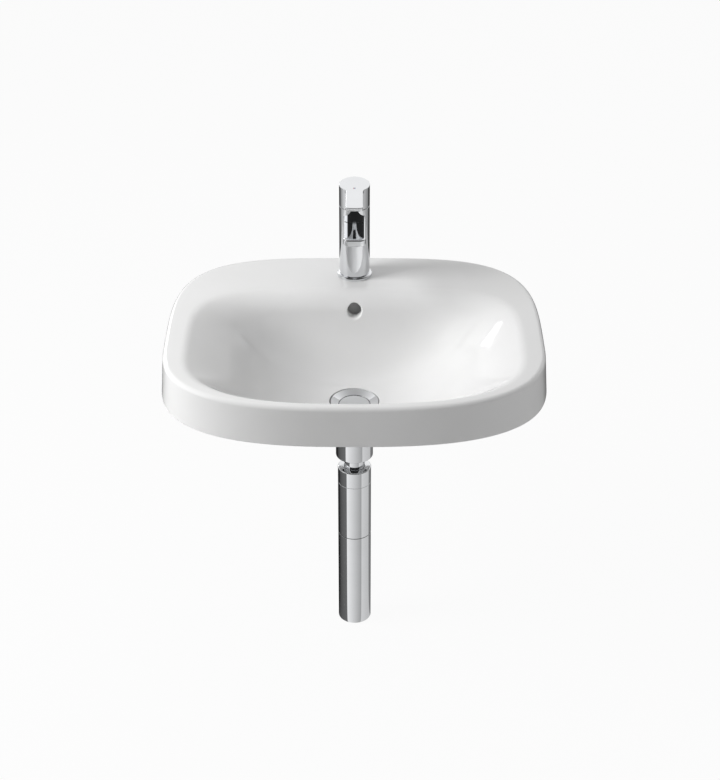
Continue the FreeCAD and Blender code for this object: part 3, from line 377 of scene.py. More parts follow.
class Graph:
    """Short hand for a shader node tree."""

    def __init__(self, tree: bpy.types.NodeTree) -> None:
        """Keep the tree."""
        self.tree = tree

    def add(self, kind: str, settings: dict | None = None, **inputs: object) -> Node:
        """Add a node.

        Args:
            kind: The node's type.
            settings: Values of its own properties.
            **inputs: Values or output sockets for its inputs, with spaces in a name written as underscores.

        Returns:
            The new node.
        """
        node = self.tree.nodes.new(kind)
        for key, value in (settings or {}).items():
            setattr(node, key, value)
        for key, value in inputs.items():
            self.feed(node, key.replace("_", " "), value)
        return node

    def wire(self, kind: str, *values: object, **settings: object) -> Node:
        """Add a node whose inputs share a name.

        Args:
            kind: The node's type.
            *values: Values or output sockets for its inputs, in order.
            **settings: Values of its own properties.

        Returns:
            The new node.
        """
        node = self.add(kind, settings)
        for socket, value in zip(node.inputs, values):
            self.plug(socket, value)
        return node

    def mix(self, share: Socket, first: object, second: object) -> Socket:
        """Return a blend of two colours."""
        node = self.add("ShaderNodeMix", {"data_type": "RGBA"}, Factor=share, A=first, B=second)
        return next(item for item in node.outputs if item.enabled)

    def feed(self, node: Node, name: str, value: object) -> None:
        """Set or link an input of a node by its name."""
        self.plug(next(item for item in node.inputs if item.name == name and item.enabled), value)

    def plug(self, socket: Socket, value: object) -> None:
        """Set or link an input socket.

        Args:
            socket: The input.
            value: A value, or the output socket that feeds it.
        """
        if isinstance(value, Socket):
            self.tree.links.new(value, socket)
        else:
            socket.default_value = value


def new_group(name: str, inputs: dict[str, float | None], output: str) -> bpy.types.NodeTree:
    """Start a shader node group.

    Args:
        name: The group's name.
        inputs: Default of each input by name, or None for a vector.
        output: Name of its one value output.

    Returns:
        The group, with its two end nodes.
    """
    group = bpy.data.node_groups.new(name, "ShaderNodeTree")
    for label, default in inputs.items():
        kind = "NodeSocketVector" if default is None else "NodeSocketFloat"
        socket = group.interface.new_socket(label, in_out="INPUT", socket_type=kind)
        if default is not None:
            socket.default_value = default
    group.interface.new_socket(output, in_out="OUTPUT", socket_type="NodeSocketFloat")
    group.nodes.new("NodeGroupInput")
    group.nodes.new("NodeGroupOutput")
    return group


def patches_group() -> bpy.types.NodeTree:
    """Build the group of soft cloudy patches between a low and a high value.

    Returns:
        The group.
    """
    group = new_group("soft_patches", {"Vector": None, "Scale": 10.0, "Low": 0.0, "High": 1.0}, "Value")
    graph = Graph(group)
    given = group.nodes["Group Input"].outputs
    noise = graph.add("ShaderNodeTexNoise", Vector=given["Vector"], Scale=given["Scale"], Detail=3.0,
                      Roughness=0.55)
    ranged = graph.add("ShaderNodeMapRange", Value=noise.outputs["Fac"], From_Min=0.3, From_Max=0.7,
                       To_Min=given["Low"], To_Max=given["High"])
    graph.feed(group.nodes["Group Output"], "Value", ranged.outputs["Result"])
    return group


def grain_group() -> bpy.types.NodeTree:
    """Build the group of fine grain, stretched along the surface where asked.

    Returns:
        The group.
    """
    group = new_group("fine_grain", {"Vector": None, "Scale": 900.0, "Stretch": 1.0}, "Height")
    graph = Graph(group)
    given = group.nodes["Group Input"].outputs
    stretch = graph.add("ShaderNodeCombineXYZ", X=1.0, Y=1.0, Z=given["Stretch"])
    drawn = graph.wire("ShaderNodeVectorMath", given["Vector"], stretch.outputs["Vector"],
                       operation="MULTIPLY")
    noise = graph.add("ShaderNodeTexNoise", Vector=drawn.outputs["Vector"], Scale=given["Scale"], Detail=2.0,
                      Roughness=0.5)
    graph.feed(group.nodes["Group Output"], "Height", noise.outputs["Fac"])
    return group


@dataclass(frozen=True)
class Finish:
    """A surface finish with cloudy colour and gloss and a fine grain."""

    name: str
    colour: Colour
    shade: Colour
    gloss: tuple[float, float]
    metallic: float = 0.0
    patch_scale: float = 12.0
    gloss_ratio: float = 2.7
    grain_scale: float = 900.0
    grain_stretch: float = 1.0
    grain_depth: float = 0.00002
    grain_strength: float = 0.1
    ior: float = 1.5

    def material(self, groups: dict[str, bpy.types.NodeTree]) -> bpy.types.Material:
        """Build the finish.

        Args:
            groups: The shared node groups by name.

        Returns:
            The material.
        """
        made = bpy.data.materials.new(self.name)
        made.use_nodes = True
        graph = Graph(made.node_tree)
        shader = made.node_tree.nodes["Principled BSDF"]
        where = graph.add("ShaderNodeTexCoord").outputs["Object"]
        patches = {"node_tree": groups["soft_patches"]}
        tint = graph.add("ShaderNodeGroup", patches, Vector=where, Scale=self.patch_scale, Low=0.0, High=1.0)
        graph.feed(shader, "Base Color", self.paint(graph, where, tint.outputs["Value"]))
        gloss = graph.add("ShaderNodeGroup", patches, Vector=where, Scale=self.gloss_ratio * self.patch_scale,
                          Low=self.gloss[0], High=self.gloss[1])
        graph.feed(shader, "Roughness", gloss.outputs["Value"])
        grain = graph.add("ShaderNodeGroup", {"node_tree": groups["fine_grain"]}, Vector=where,
                          Scale=self.grain_scale, Stretch=self.grain_stretch)
        relief = graph.add("ShaderNodeBump", Strength=self.grain_strength, Distance=self.grain_depth,
                           Height=grain.outputs["Height"])
        graph.feed(shader, "Normal", relief.outputs["Normal"])
        graph.feed(shader, "Metallic", self.metallic)
        graph.feed(shader, "IOR", self.ior)
        return made

    def paint(self, graph: Graph, where: Socket, tint: Socket) -> Socket:
        """Return the finish's two colours, mixed in patches."""
        return graph.mix(tint, (*self.colour, 1.0), (*self.shade, 1.0))


@dataclass(frozen=True)
class TwoColourFinish(Finish):
    """A mark that is one colour on its left half and another on its right."""

    edge: float = 0.0004

    def paint(self, graph: Graph, where: Socket, tint: Socket) -> Socket:
        """Return the two colours on both sides of the middle plane, with a slightly ragged line between.

        Args:
            graph: The material's tree.
            where: The place on the piece.
            tint: The value of the patches.

        Returns:
            The colour.
        """
        parts = graph.add("ShaderNodeSeparateXYZ", Vector=where)
        shaken = graph.wire("ShaderNodeMath", tint, self.edge / 2, parts.outputs["X"],
                            operation="MULTIPLY_ADD")
        side = graph.add("ShaderNodeMapRange", Value=shaken.outputs["Value"], From_Min=-self.edge,
                         From_Max=self.edge)
        return super().paint(graph, where, side.outputs["Result"])


FINISHES = (
    Finish("white_glaze", (0.83, 0.83, 0.825), (0.86, 0.86, 0.86), (0.05, 0.085), patch_scale=7.0,
           grain_scale=160.0, grain_depth=0.00004, grain_strength=0.05, ior=1.52),
    Finish("chrome", (0.79, 0.80, 0.815), (0.82, 0.83, 0.845), (0.03, 0.06), 1.0, patch_scale=30.0,
           grain_scale=1400.0, grain_depth=0.00001, grain_strength=0.02),
    Finish("raw_brass", (0.70, 0.55, 0.29), (0.60, 0.46, 0.24), (0.2, 0.34), 1.0, patch_scale=60.0,
           grain_scale=260.0, grain_stretch=14.0, grain_depth=0.00004, grain_strength=0.3),
    Finish("steel", (0.62, 0.62, 0.63), (0.52, 0.53, 0.55), (0.24, 0.4), 1.0, patch_scale=90.0,
           grain_scale=1800.0, grain_depth=0.00003, grain_strength=0.25),
    Finish("black_rubber", (0.035, 0.035, 0.035), (0.06, 0.06, 0.06), (0.55, 0.75), patch_scale=120.0,
           grain_scale=2200.0, grain_depth=0.00006, grain_strength=0.4),
    Finish("cartridge_plastic", (0.66, 0.67, 0.66), (0.6, 0.61, 0.6), (0.4, 0.5), patch_scale=80.0,
           grain_scale=2600.0, grain_depth=0.00003, grain_strength=0.3),
    Finish("disc_ceramic", (0.8, 0.77, 0.71), (0.76, 0.74, 0.69), (0.18, 0.3), patch_scale=150.0,
           grain_scale=3200.0, grain_depth=0.00001, grain_strength=0.2),
    TwoColourFinish("index_plastic", (0.6, 0.34, 0.33), (0.35, 0.42, 0.58), (0.25, 0.35), patch_scale=400.0,
                    grain_scale=2600.0),
    Finish("aerator_plastic", (0.45, 0.47, 0.5), (0.4, 0.42, 0.45), (0.35, 0.5), patch_scale=150.0,
           grain_scale=2600.0, grain_depth=0.00003, grain_strength=0.3),
)


class Dresser:
    """Gives each piece its material, its body and the nodes that it stands for."""

    def __init__(self) -> None:
        """Build the shared groups and every finish."""
        groups = {"soft_patches": patches_group(), "fine_grain": grain_group()}
        self.materials = {finish.name: finish.material(groups) for finish in FINISHES}
        self.replaced: set[str] = set()

    def dress(self, piece: Piece, slot: str, node: str, body: str = FIXED) -> None:
        """Finish a new piece that stands for a node of the model.

        Args:
            piece: The piece.
            slot: The record's material slot.
            node: The node that it replaces.
            body: The body that it rides on.
        """
        piece.data.materials.clear()
        piece.data.materials.append(self.materials[slot])
        even = piece.modifiers.new("even_flats", "WEIGHTED_NORMAL")
        even.keep_sharp = True
        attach(piece, body)
        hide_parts(node)
        self.replaced.add(node)
        LOG.info("%s: %d faces, %s", piece.name, len(piece.data.polygons), slot)

    def carry_over(self) -> None:
        """Give every node that keeps its own mesh the finish of its slot."""
        for part in frame["record"]["subparts"]:
            if part["node"] in self.replaced:
                continue
            node = frame["nodes"][part["node"]]
            if not node.material_slots:
                node.data.materials.append(None)
            for slot in node.material_slots:
                slot.material = self.materials[part["material_slot"]]
            LOG.info("%s: carried over, %s", part["node"], part["material_slot"])


# Pieces

@dataclass(frozen=True)
class Outline:
    """A level loop that is widest at one place along Y, with a reach and corner power front and back."""

    half_width: float
    front: float
    back: float
    middle: float
    power_front: float = 2.0
    power_back: float = 2.0

    def side(self, ahead: bool) -> tuple[float, float]:
        """Return the reach and the corner power on one side of the middle.

        Args:
            ahead: Whether it is the front side.

        Returns:
            The reach and the power.
        """
        if ahead:
            return self.middle - self.front, self.power_front
        return self.back - self.middle, self.power_back

    def fill(self, point: Vector) -> float:
        """Return how far out a point lies: under 1 inside the loop and over 1 outside."""
        reach, power = self.side(point.y < self.middle)
        return (abs(point.x) / self.half_width) ** power + (abs(point.y - self.middle) / reach) ** power

    def loop(self, level: float, count: int) -> Loop:
        """Return evenly turned points of the loop at a level.

        Args:
            level: The loop's height.
            count: How many points it has.

        Returns:
            The points.
        """
        points = []
        for step in range(count):
            angle = math.pi + FULL_TURN * step / count
            across, along = math.cos(angle), math.sin(angle)
            reach, power = self.side(along < 0)
            filling = (abs(across) / self.half_width) ** power + (abs(along) / reach) ** power
            radius = filling ** (-1 / power)
            points.append(Vector((radius * across, self.middle + radius * along, level)))
        return points


Table = list[tuple[float, Outline]]


@dataclass
class Basin:
    """The glazed casting: rim wall, flat deck, bowl, waste neck and the hollow underneath."""

    width: float = 500.0
    depth: float = 420.0
    height: float = 54.0
    draft: float = 3.5
    rim_radius: float = 6.0
    foot_radius: float = 1.2
    middle: float = -45.0
    power_front: float = 2.7
    power_back: float = 3.85
    bowl_width: float = 436.0
    bowl_front: float = -193.0
    bowl_back: float = 92.5
    bowl_middle: float = -60.0
    bowl_depth: float = 99.5
    bowl_wall: float = 11.0
    bowl_power_front: float = 2.7
    bowl_power_back: float = 4.4
    slope_top: float = 22.0
    slope_floor: float = 84.0
    side_slopes: tuple[float, float, float] = (24.0, 43.5, 6.0)
    edge_front: float = 6.0
    edge_side: float = 28.0
    edge_back: float = 30.0
    edge_drop: float = 24.0
    tap_y: float = 155.0
    tap_hole: float = 17.5

    # The seat of the waste, with the small roundings of its edges as steps across and along the axis
    waste_y: float = -20.0
    land: float = 36.0
    recess: float = 33.0
    recess_level: float = -52.0
    waste_hole: float = 23.0
    neck: float = 37.0
    neck_bottom: float = -82.0
    lip_steps: Pairs = ((1.2, 0.0), (0.4, 0.25), (0.0, 1.0))
    seat_ease: float = 0.6
    hole_ease: float = 0.8
    mouth_ease: float = 1.0
    neck_steps: Pairs = ((1.4, 0.0), (0.4, 0.4), (0.0, 1.4))

    # The hollow underneath, from the fillet at the neck to the level seat at the foot
    seat_width: float = 22.0
    deck_under: float = 39.0
    deck_blend: float = 8.0
    neck_fillet: Pairs = ((0.0, 5.0), (1.4, 1.5))
    neck_flare: float = 5.0
    neck_clear: float = 2.2
    hollow_inset: float = 3.5
    hollow_ease: float = 1.0
    hollow_drop: float = 2.5
    hollow_foot: float = 1.6
    seat_steps: Pairs = ((0.5, 0.45), (1.6, 0.0))

    # The overflow and the duct behind it
    duct_half: float = 32.0
    duct_outset: float = 31.0
    duct_blend: float = 6.0
    duct_span: tuple[float, float] = (13.0, 25.0)
    duct_levels: tuple[float, float] = (-20.0, 41.0)
    duct_inside: float = 22.0
    overflow_radius: float = 9.5
    overflow_level: float = 32.0
    overflow_depth: float = 24.0
    overflow_front: float = -6.0
    overflow_lip: float = 2.2
    overflow_flare: float = 1.5
    lip_start: float = 20.0

    # How finely the skin is divided
    points: int = 288
    foot_rows: int = 4
    wall_rows: int = 9
    rim_rows: int = 10
    deck_rows: int = 5
    edge_rows: int = 26
    bowl_rows: int = 30
    under_rows: int = 34
    hollow_rows: int = 5
    table_rows: int = 80
    duct_rows: int = 6
    lip_rows: int = 6
    overflow_points: int = 64
    sharp_deg: float = 40.0

    def build(self, dresser: Dresser) -> None:
        """Make the casting and finish it.

        Args:
            dresser: Gives each piece its finish, body and node.
        """
        piece = finished("basin_casting", lofted(self.loops()), self.sharp_deg)
        tap = rod(self.tap_hole, self.deck_under - OVERCUT, self.height + OVERCUT, (0, self.tap_y, 0))
        for tool in (tap, self.duct_tool(), self.overflow_tool()):
            carve(piece, tool, Carve.CUT, self.sharp_deg)
        dresser.dress(piece, "white_glaze", "basin_body")

    def rim(self, inset: float) -> Outline:
        """Return the rim wall's outline, drawn in from the foot."""
        half = self.depth / 2
        return Outline(self.width / 2 - inset, inset - half, half - inset, self.middle, self.power_front,
                       self.power_back)

    def circle(self, radius: float) -> Outline:
        """Return a circle about the waste's axis."""
        return Outline(radius, self.waste_y - radius, self.waste_y + radius, self.waste_y)

    def swing(self) -> tuple[float, float]:
        """Return the bowl wall's angle at the top and at the floor."""
        return math.radians(self.slope_top), math.radians(self.slope_floor)

    def spread(self, drop: float) -> float:
        """Return how far open the bowl is at a depth: 1 at the top and 0 at the floor.

        Args:
            drop: Depth below the deck.

        Returns:
            The share.
        """
        top, floor = self.swing()
        rise = math.sin(top) + drop / self.bowl_depth * (math.sin(floor) - math.sin(top))
        return (math.sqrt(1 - rise * rise) - math.cos(floor)) / (math.cos(top) - math.cos(floor))

    def side_run(self, drop: float) -> float:
        """Return how far in from its edge the bowl's side is at a depth.

        The side is two arcs, one that bends down to the steepest slope and one that bends back to the floor.

        Args:
            drop: Depth below the deck.

        Returns:
            The distance.
        """
        first, middle, last = (math.radians(slope) for slope in self.side_slopes)
        reach = self.bowl_width / 2 - self.land
        over_run, over_fall = math.sin(middle) - math.sin(first), math.cos(first) - math.cos(middle)
        under_run, under_fall = math.sin(middle) - math.sin(last), math.cos(last) - math.cos(middle)
        scale = over_run * under_fall - under_run * over_fall
        over = (reach * under_fall - self.bowl_depth * under_run) / scale
        under = (self.bowl_depth * over_run - reach * over_fall) / scale
        if drop < over * over_fall:
            angle = math.acos(math.cos(first) - drop / over)
            return over * (math.sin(angle) - math.sin(first))
        angle = math.acos(min(1.0, math.cos(middle) + (drop - over * over_fall) / under))
        return over * over_run + under * (math.sin(middle) - math.sin(angle))

    def end_lean(self, reach: float) -> float:
        """Return how far the front or back wall goes in for each step down at the top.

        Args:
            reach: How far it goes in from top to floor.

        Returns:
            The lean.
        """
        top, floor = self.swing()
        lean = math.tan(top) * reach / (math.cos(top) - math.cos(floor))
        return lean * (math.sin(floor) - math.sin(top)) / self.bowl_depth

    @staticmethod
    def edge_swell(drop: float, radius: float, lean: float) -> float:
        """Return how far the rounded edge stands back from the bowl's wall at a depth.

        Args:
            drop: Depth below the deck.
            radius: The edge's rounding.
            lean: How far the wall goes in for each step down.

        Returns:
            The distance, which is 0 below the rounding.
        """
        slope = math.atan(lean)
        if drop >= radius * (1 - math.sin(slope)):
            return 0.0
        start = radius * math.tan((math.pi / 2 - slope) / 2)
        return start - math.sqrt(radius ** 2 - (radius - drop) ** 2) + drop * lean

    def bowl(self, drop: float, outset: float = 0.0, edged: bool = True) -> Outline:
        """Return the bowl's outline at a depth.

        Args:
            drop: Depth below the deck.
            outset: How far the surface stands out from the inside of the bowl.
            edged: Whether the rounded edge is added.

        Returns:
            The outline, which lies that depth and the outset below the deck.
        """
        open_share = self.spread(drop)
        corner = math.sqrt(max(0.0, open_share))
        ahead = self.waste_y - self.land - self.bowl_front
        behind = self.bowl_back - self.waste_y - self.land
        side_lean = 1 / math.tan(math.radians(self.side_slopes[0]))
        edges = ((self.edge_side, side_lean), (self.edge_front, self.end_lean(ahead)),
                 (self.edge_back, self.end_lean(behind)))
        swells = [self.edge_swell(drop, radius, lean) if edged else 0.0 for radius, lean in edges]
        return Outline(
            self.bowl_width / 2 - self.side_run(drop) + swells[0] + outset,
            self.waste_y - self.land - ahead * open_share - swells[1] - outset,
            self.waste_y + self.land + behind * open_share + swells[2] + outset,
            self.waste_y + (self.bowl_middle - self.waste_y) * open_share,
            2 + (self.bowl_power_front - 2) * corner,
            2 + (self.bowl_power_back - 2) * corner)

    def outside_loops(self) -> list[Loop]:
        """Return the loops from the foot up the rim wall and over its rounded top.

        Returns:
            The loops, in order along the skin.
        """
        lean = self.draft / self.height
        slope = math.atan(lean)
        loops = []
        for step in range(self.foot_rows + 1):
            angle = math.radians(270 - 90 * step / self.foot_rows)
            level = self.foot_radius * (1 + math.sin(angle))
            inset = self.foot_radius * (1 + math.cos(angle)) + lean * level
            loops.append(self.rim(inset).loop(level, self.points))
        radius = self.rim_radius
        turn = radius / math.cos(slope) + (self.height - radius) * lean
        wall_top = self.height - radius + radius * math.sin(slope)
        for step in range(1, self.wall_rows):
            level = self.foot_radius + (wall_top - self.foot_radius) * step / self.wall_rows
            loops.append(self.rim(level * lean).loop(level, self.points))
        for step in range(self.rim_rows + 1):
            angle = math.pi - slope + (slope - math.pi / 2) * step / self.rim_rows
            level = self.height - radius + radius * math.sin(angle)
            loops.append(self.rim(turn + radius * math.cos(angle)).loop(level, self.points))
        return loops

    def inside_loops(self) -> list[Loop]:
        """Return the loops from the bowl's rounded edge down to the waste neck's foot.

        Returns:
            The loops, in order along the skin.
        """
        drops = [self.edge_drop * (1 - math.cos(math.pi / 2 * step / self.edge_rows))
                 for step in range(self.edge_rows + 1)]
        top, floor = self.swing()
        fall = math.sin(floor) - math.sin(top)
        start = math.asin(math.sin(top) + self.edge_drop / self.bowl_depth * fall)
        for step in range(1, self.bowl_rows + 1):
            angle = start + (floor - start) * step / self.bowl_rows
            drops.append((math.sin(angle) - math.sin(top)) / fall * self.bowl_depth)
        loops = [self.bowl(drop).loop(self.height - drop, self.points) for drop in drops]
        loops.extend(self.circle(radius).loop(level, self.points) for radius, level in self.seat())
        return loops

    def seat(self) -> list[tuple[float, float]]:
        """Return radius and level of each loop of the waste's seat, from the bowl's floor down.

        Returns:
            The radius and level of each.
        """
        floor = self.height - self.bowl_depth
        hole, step, foot = self.waste_hole, self.recess_level, self.neck_bottom
        return [
            *((self.recess + out, floor - down) for out, down in self.lip_steps),
            (self.recess, step + self.seat_ease), (self.recess - self.seat_ease, step),
            (hole + self.hole_ease, step), (hole, step - self.hole_ease),
            (hole, foot + self.mouth_ease), (hole + self.mouth_ease, foot),
            *((self.neck - inward, foot + up) for inward, up in self.neck_steps)]

    def table(self, outset: float) -> Table:
        """Return levels and outlines of the bowl's outside, from its floor upwards."""
        drops = (self.bowl_depth * (1 - step / self.table_rows) for step in range(self.table_rows + 1))
        return [(self.height - drop - outset, self.bowl(drop, outset, edged=False)) for drop in drops]

    def outside_level(self, point: Vector, table: Table) -> float:
        """Return the level of the bowl's outside at a place, or the deck's where the place lies beyond it.

        Args:
            point: The place.
            table: Levels and outlines of the bowl's outside.

        Returns:
            The level.
        """
        row = bisect_left(table, True, hi=len(table) - 1, key=lambda entry: entry[1].fill(point) <= 1)
        level, outline = table[row]
        outer = outline.fill(point)
        if outer > 1:
            return self.height
        if row == 0:
            return level
        below, smaller = table[row - 1]
        inner = smaller.fill(point)
        return below + (level - below) * clamped((inner - 1) / max(TINY, inner - outer))

    def underside(self, point: Vector, tables: Sequence[Table]) -> float:
        """Return the level of the casting's underside at a place.

        Args:
            point: The place.
            tables: The bowl's outside without and with the overflow duct's casing.

        Returns:
            The level, softly rounded where the bowl meets the deck.
        """
        levels = [self.outside_level(point, table) for table in tables]
        beside = clamped((self.duct_half + self.duct_blend / 2 - abs(point.x)) / self.duct_blend)
        beside = beside * beside * (3 - 2 * beside) if point.y > self.waste_y else 0.0
        level = levels[0] + (min(levels) - levels[0]) * beside
        near = max(0.0, self.deck_blend - abs(level - self.deck_under))
        return min(level, self.deck_under) - near * near / (4 * self.deck_blend)

    def under_loops(self) -> list[Loop]:
        """Return the loops from the neck outwards under the bowl and down the hollow's wall to the foot.

        Returns:
            The loops, in order along the skin.
        """
        tables = (self.table(self.bowl_wall), self.table(self.duct_outset))
        lowest = self.neck_bottom + self.neck_clear

        def hung(loop: Loop, drop: float = 0.0) -> Loop:
            """Lift a loop to the underside, less a drop."""
            return [Vector((p.x, p.y, max(lowest, self.underside(p, tables) - drop))) for p in loop]

        loops = [hung(self.circle(self.neck + out).loop(0, self.points), drop)
                 for out, drop in self.neck_fillet]
        wide = self.circle(self.neck + self.neck_flare).loop(0, self.points)
        near_wall = self.rim(self.seat_width + self.hollow_inset).loop(0, self.points)
        loops.extend(hung(blended(wide, near_wall, step / self.under_rows))
                     for step in range(self.under_rows + 1))
        corner = hung(self.rim(self.seat_width + self.hollow_ease).loop(0, self.points), self.hollow_ease)
        foot = self.rim(self.seat_width).loop(self.hollow_foot, self.points)
        top = [Vector((p.x, p.y, q.z - self.hollow_drop)) for p, q in zip(foot, corner)]
        loops.append(corner)
        loops.extend(blended(top, foot, step / self.hollow_rows) for step in range(self.hollow_rows + 1))
        loops.extend(self.rim(self.seat_width - out).loop(level, self.points)
                     for out, level in self.seat_steps)
        return loops

    def loops(self) -> list[Loop]:
        """Return all loops of the closed casting, in order along its skin.

        Returns:
            The loops.
        """
        outside, inside = self.outside_loops(), self.inside_loops()
        deck = [blended(outside[-1], inside[0], step / self.deck_rows) for step in range(1, self.deck_rows)]
        return outside + deck + inside + self.under_loops()

    def wall(self, level: float) -> float:
        """Return how far back the bowl's wall is at a level, on the middle plane."""
        return self.bowl(self.height - level).back

    def duct_tool(self) -> Mesh:
        """Return the tool that cuts the dark duct behind the overflow, which follows the bowl's wall down.

        Returns:
            The mesh.
        """
        low, high = self.duct_levels
        levels = [low + (high - low) * step / self.duct_rows for step in range(self.duct_rows + 1)]
        near, far = self.duct_span
        side = [(self.wall(level) + near, level) for level in levels]
        side.extend((self.wall(level) + far, level) for level in reversed(levels))
        return bar(side, self.duct_inside)

    def overflow_tool(self) -> Mesh:
        """Return the tool that cuts the overflow, with a rounded lip that follows the bowl's slope.

        Returns:
            The mesh.
        """
        lip = self.overflow_lip
        profile = [(self.overflow_radius + self.overflow_flare * lip, self.overflow_front)]
        for step in range(self.lip_rows + 1):
            angle = math.radians(self.lip_start + (90 - self.lip_start) * step / self.lip_rows)
            profile.append((self.overflow_radius + lip - lip * math.sin(angle), lip - lip * math.cos(angle)))
        profile.append((self.overflow_radius, self.overflow_depth))
        mesh = bmesh.new()
        rings = []
        for radius, deep in profile:
            verts = bmesh.ops.create_circle(mesh, cap_ends=False, segments=self.overflow_points,
                                            radius=radius)["verts"]
            for vert in verts:
                level = self.overflow_level + vert.co.y
                vert.co = Vector((vert.co.x, self.wall(level) + deep, level))
            rings.append(list(dict.fromkeys(edge for vert in verts for edge in vert.link_edges)))
        for low, high in zip(rings, rings[1:]):
            bmesh.ops.bridge_loops(mesh, edges=low + high)
        filled(mesh)
        return mesh


@dataclass
class Mixer:
    """The single-lever mixer: column with spout, lever handle, base ring and aerator ring."""

    axis_y: float = 155.0
    radius: float = 20.8
    foot: float = 58.4
    top: float = 158.8
    bore: float = 17.8
    bore_floor: float = 120.0
    bore_steps: int = 97
    block_height: float = 15.0

    # The ring on the deck
    deck: float = 54.0
    ring_radius: float = 24.0
    ring_lip: float = 1.6
    ring_gap: float = 0.8
    ring_chamfer: float = 1.4
    hole_radius: float = 18.0

    # The spout and the aerator's ring in its mouth
    spout_top: float = 150.0
    spout_under: float = 140.0
    spout_reach: float = 92.0
    spout_flat: float = 32.0
    spout_root: float = 26.0
    spout_width: float = 30.0
    spout_corner: float = 8.0
    spout_corner_steps: int = 10
    spout_edge: float = 2.0
    aerator_y: float = 77.5
    aerator_radius: float = 9.0
    aerator_wall: float = 1.8
    aerator_height: float = 5.5
    aerator_play: float = 0.1
    aerator_seat: float = 6.3

    # The lever handle
    handle_foot: float = 159.5
    handle_top: float = 189.5
    handle_wall: float = 2.5
    handle_roof: float = 8.0
    handle_edge: float = 0.8
    handle_edge_steps: int = 4
    handle_sharp_deg: float = 28.0
    foot_clear: float = 1.0
    slope_deg: float = 4.5
    tongue_half: float = 11.5
    tongue_thick: float = 5.0
    tongue_reach: float = 65.0
    tongue_bow: float = 0.6
    tongue_root: float = 5.0
    tongue_tip: float = 3.0
    tongue_rows: int = 5
    wedge_start: float = 1.8
    wedge_deg: float = 24.0
    boss_radius: float = 7.0
    boss_foot: float = 168.6
    stem_radius: float = 4.1
    stem_top: float = 180.1
    screw_level: float = 174.0
    screw_hole: float = 2.1
    screw_start: float = 6.0
    index_reach: float = 12.0
    index_radius: float = 1.9
    index_depth: float = 0.7
    index_steps: int = 32
    segments: int = 108

    # Cosines that tell level faces from steep ones
    level_cosine: float = 0.999
    steep_cosine: float = 0.6

    def build(self, dresser: Dresser) -> None:
        """Make the mixer's visible pieces and finish them.

        Args:
            dresser: Gives each piece its finish, body and node.
        """
        axis = (0, self.axis_y, 0)
        self.build_body(dresser, axis)
        self.build_handle(dresser)
        inner, seat = self.ring_radius - self.ring_lip, self.deck + self.ring_gap
        ring = turned([
            (self.hole_radius, seat, 0), (inner, seat, 0), (inner, self.deck, 0),
            (self.ring_radius, self.deck, CRISP), (self.ring_radius, self.foot - self.ring_chamfer, SOFT),
            (self.ring_radius - self.ring_chamfer, self.foot, SOFT), (self.hole_radius, self.foot, 0)],
            axis, steps=FINE_STEPS)
        dresser.dress(finished("base_collar", ring), "chrome", "base_ring")
        inner, high = self.aerator_radius - self.aerator_wall, self.spout_under + self.aerator_height
        mouth = turned([
            (inner, self.spout_under, EASED), (self.aerator_radius, self.spout_under, SOFT),
            (self.aerator_radius, high, CRISP), (inner, high, CRISP)], (0, self.aerator_y, 0))
        dresser.dress(finished("aerator_ring", mouth), "chrome", "aerator_housing")

    def build_body(self, dresser: Dresser, axis: Point) -> None:
        """Make the column with its spout, bores and holes.

        Args:
            dresser: Gives each piece its finish, body and node.
            axis: Where the upright axis stands.
        """
        column = turned([(0, self.foot, 0), (self.radius, self.foot, EASED), (self.radius, self.top, SOFT),
                         (0, self.top, 0)], axis, steps=FINE_STEPS)
        piece = finished("mixer_column", column)
        carve(piece, self.spout(), Carve.JOIN)
        for tool in (
            rod(self.bore, self.bore_floor, self.top + OVERCUT, axis, steps=self.bore_steps),
            rod(self.aerator_radius + self.aerator_play, self.spout_under - OVERCUT,
                self.spout_under + self.aerator_seat, (0, self.aerator_y, 0)),
            rod(self.bore, self.foot - OVERCUT, self.foot + self.block_height, axis, steps=self.bore_steps),
        ):
            carve(piece, tool, Carve.CUT)
        dresser.dress(piece, "chrome", "mixer_body")

    def spout(self) -> Mesh:
        """Return the spout: a flat topped bar that thickens towards the column, with rounded edges.

        Returns:
            The mesh.
        """
        crease = self.spout_flat - self.spout_reach
        root = self.spout_top - self.spout_root
        mesh = bar([
            (0, self.spout_top), (-self.spout_reach, self.spout_top), (-self.spout_reach, self.spout_under),
            (crease, self.spout_under), (-self.radius / 2, root), (0, root)], self.spout_width / 2)

        def lies(edge: bmesh.types.BMEdge, axis: int, at: float) -> bool:
            """Tell whether both ends of an edge lie at one place along an axis."""
            return all(abs(vert.co[axis] - at) < NEAR for vert in edge.verts)

        tips = [edge for edge in mesh.edges
                if lies(edge, 1, -self.spout_reach) and lies(edge, 0, edge.verts[0].co.x)]
        rounded(mesh, tips, self.spout_corner, self.spout_corner_steps)
        rims = [edge for edge in mesh.edges
                if (lies(edge, 2, self.spout_top) or lies(edge, 2, self.spout_under))
                and not lies(edge, 1, crease) and not lies(edge, 1, 0)]
        rounded(mesh, rims, self.spout_edge)
        return place(mesh, (0, self.axis_y, 0))

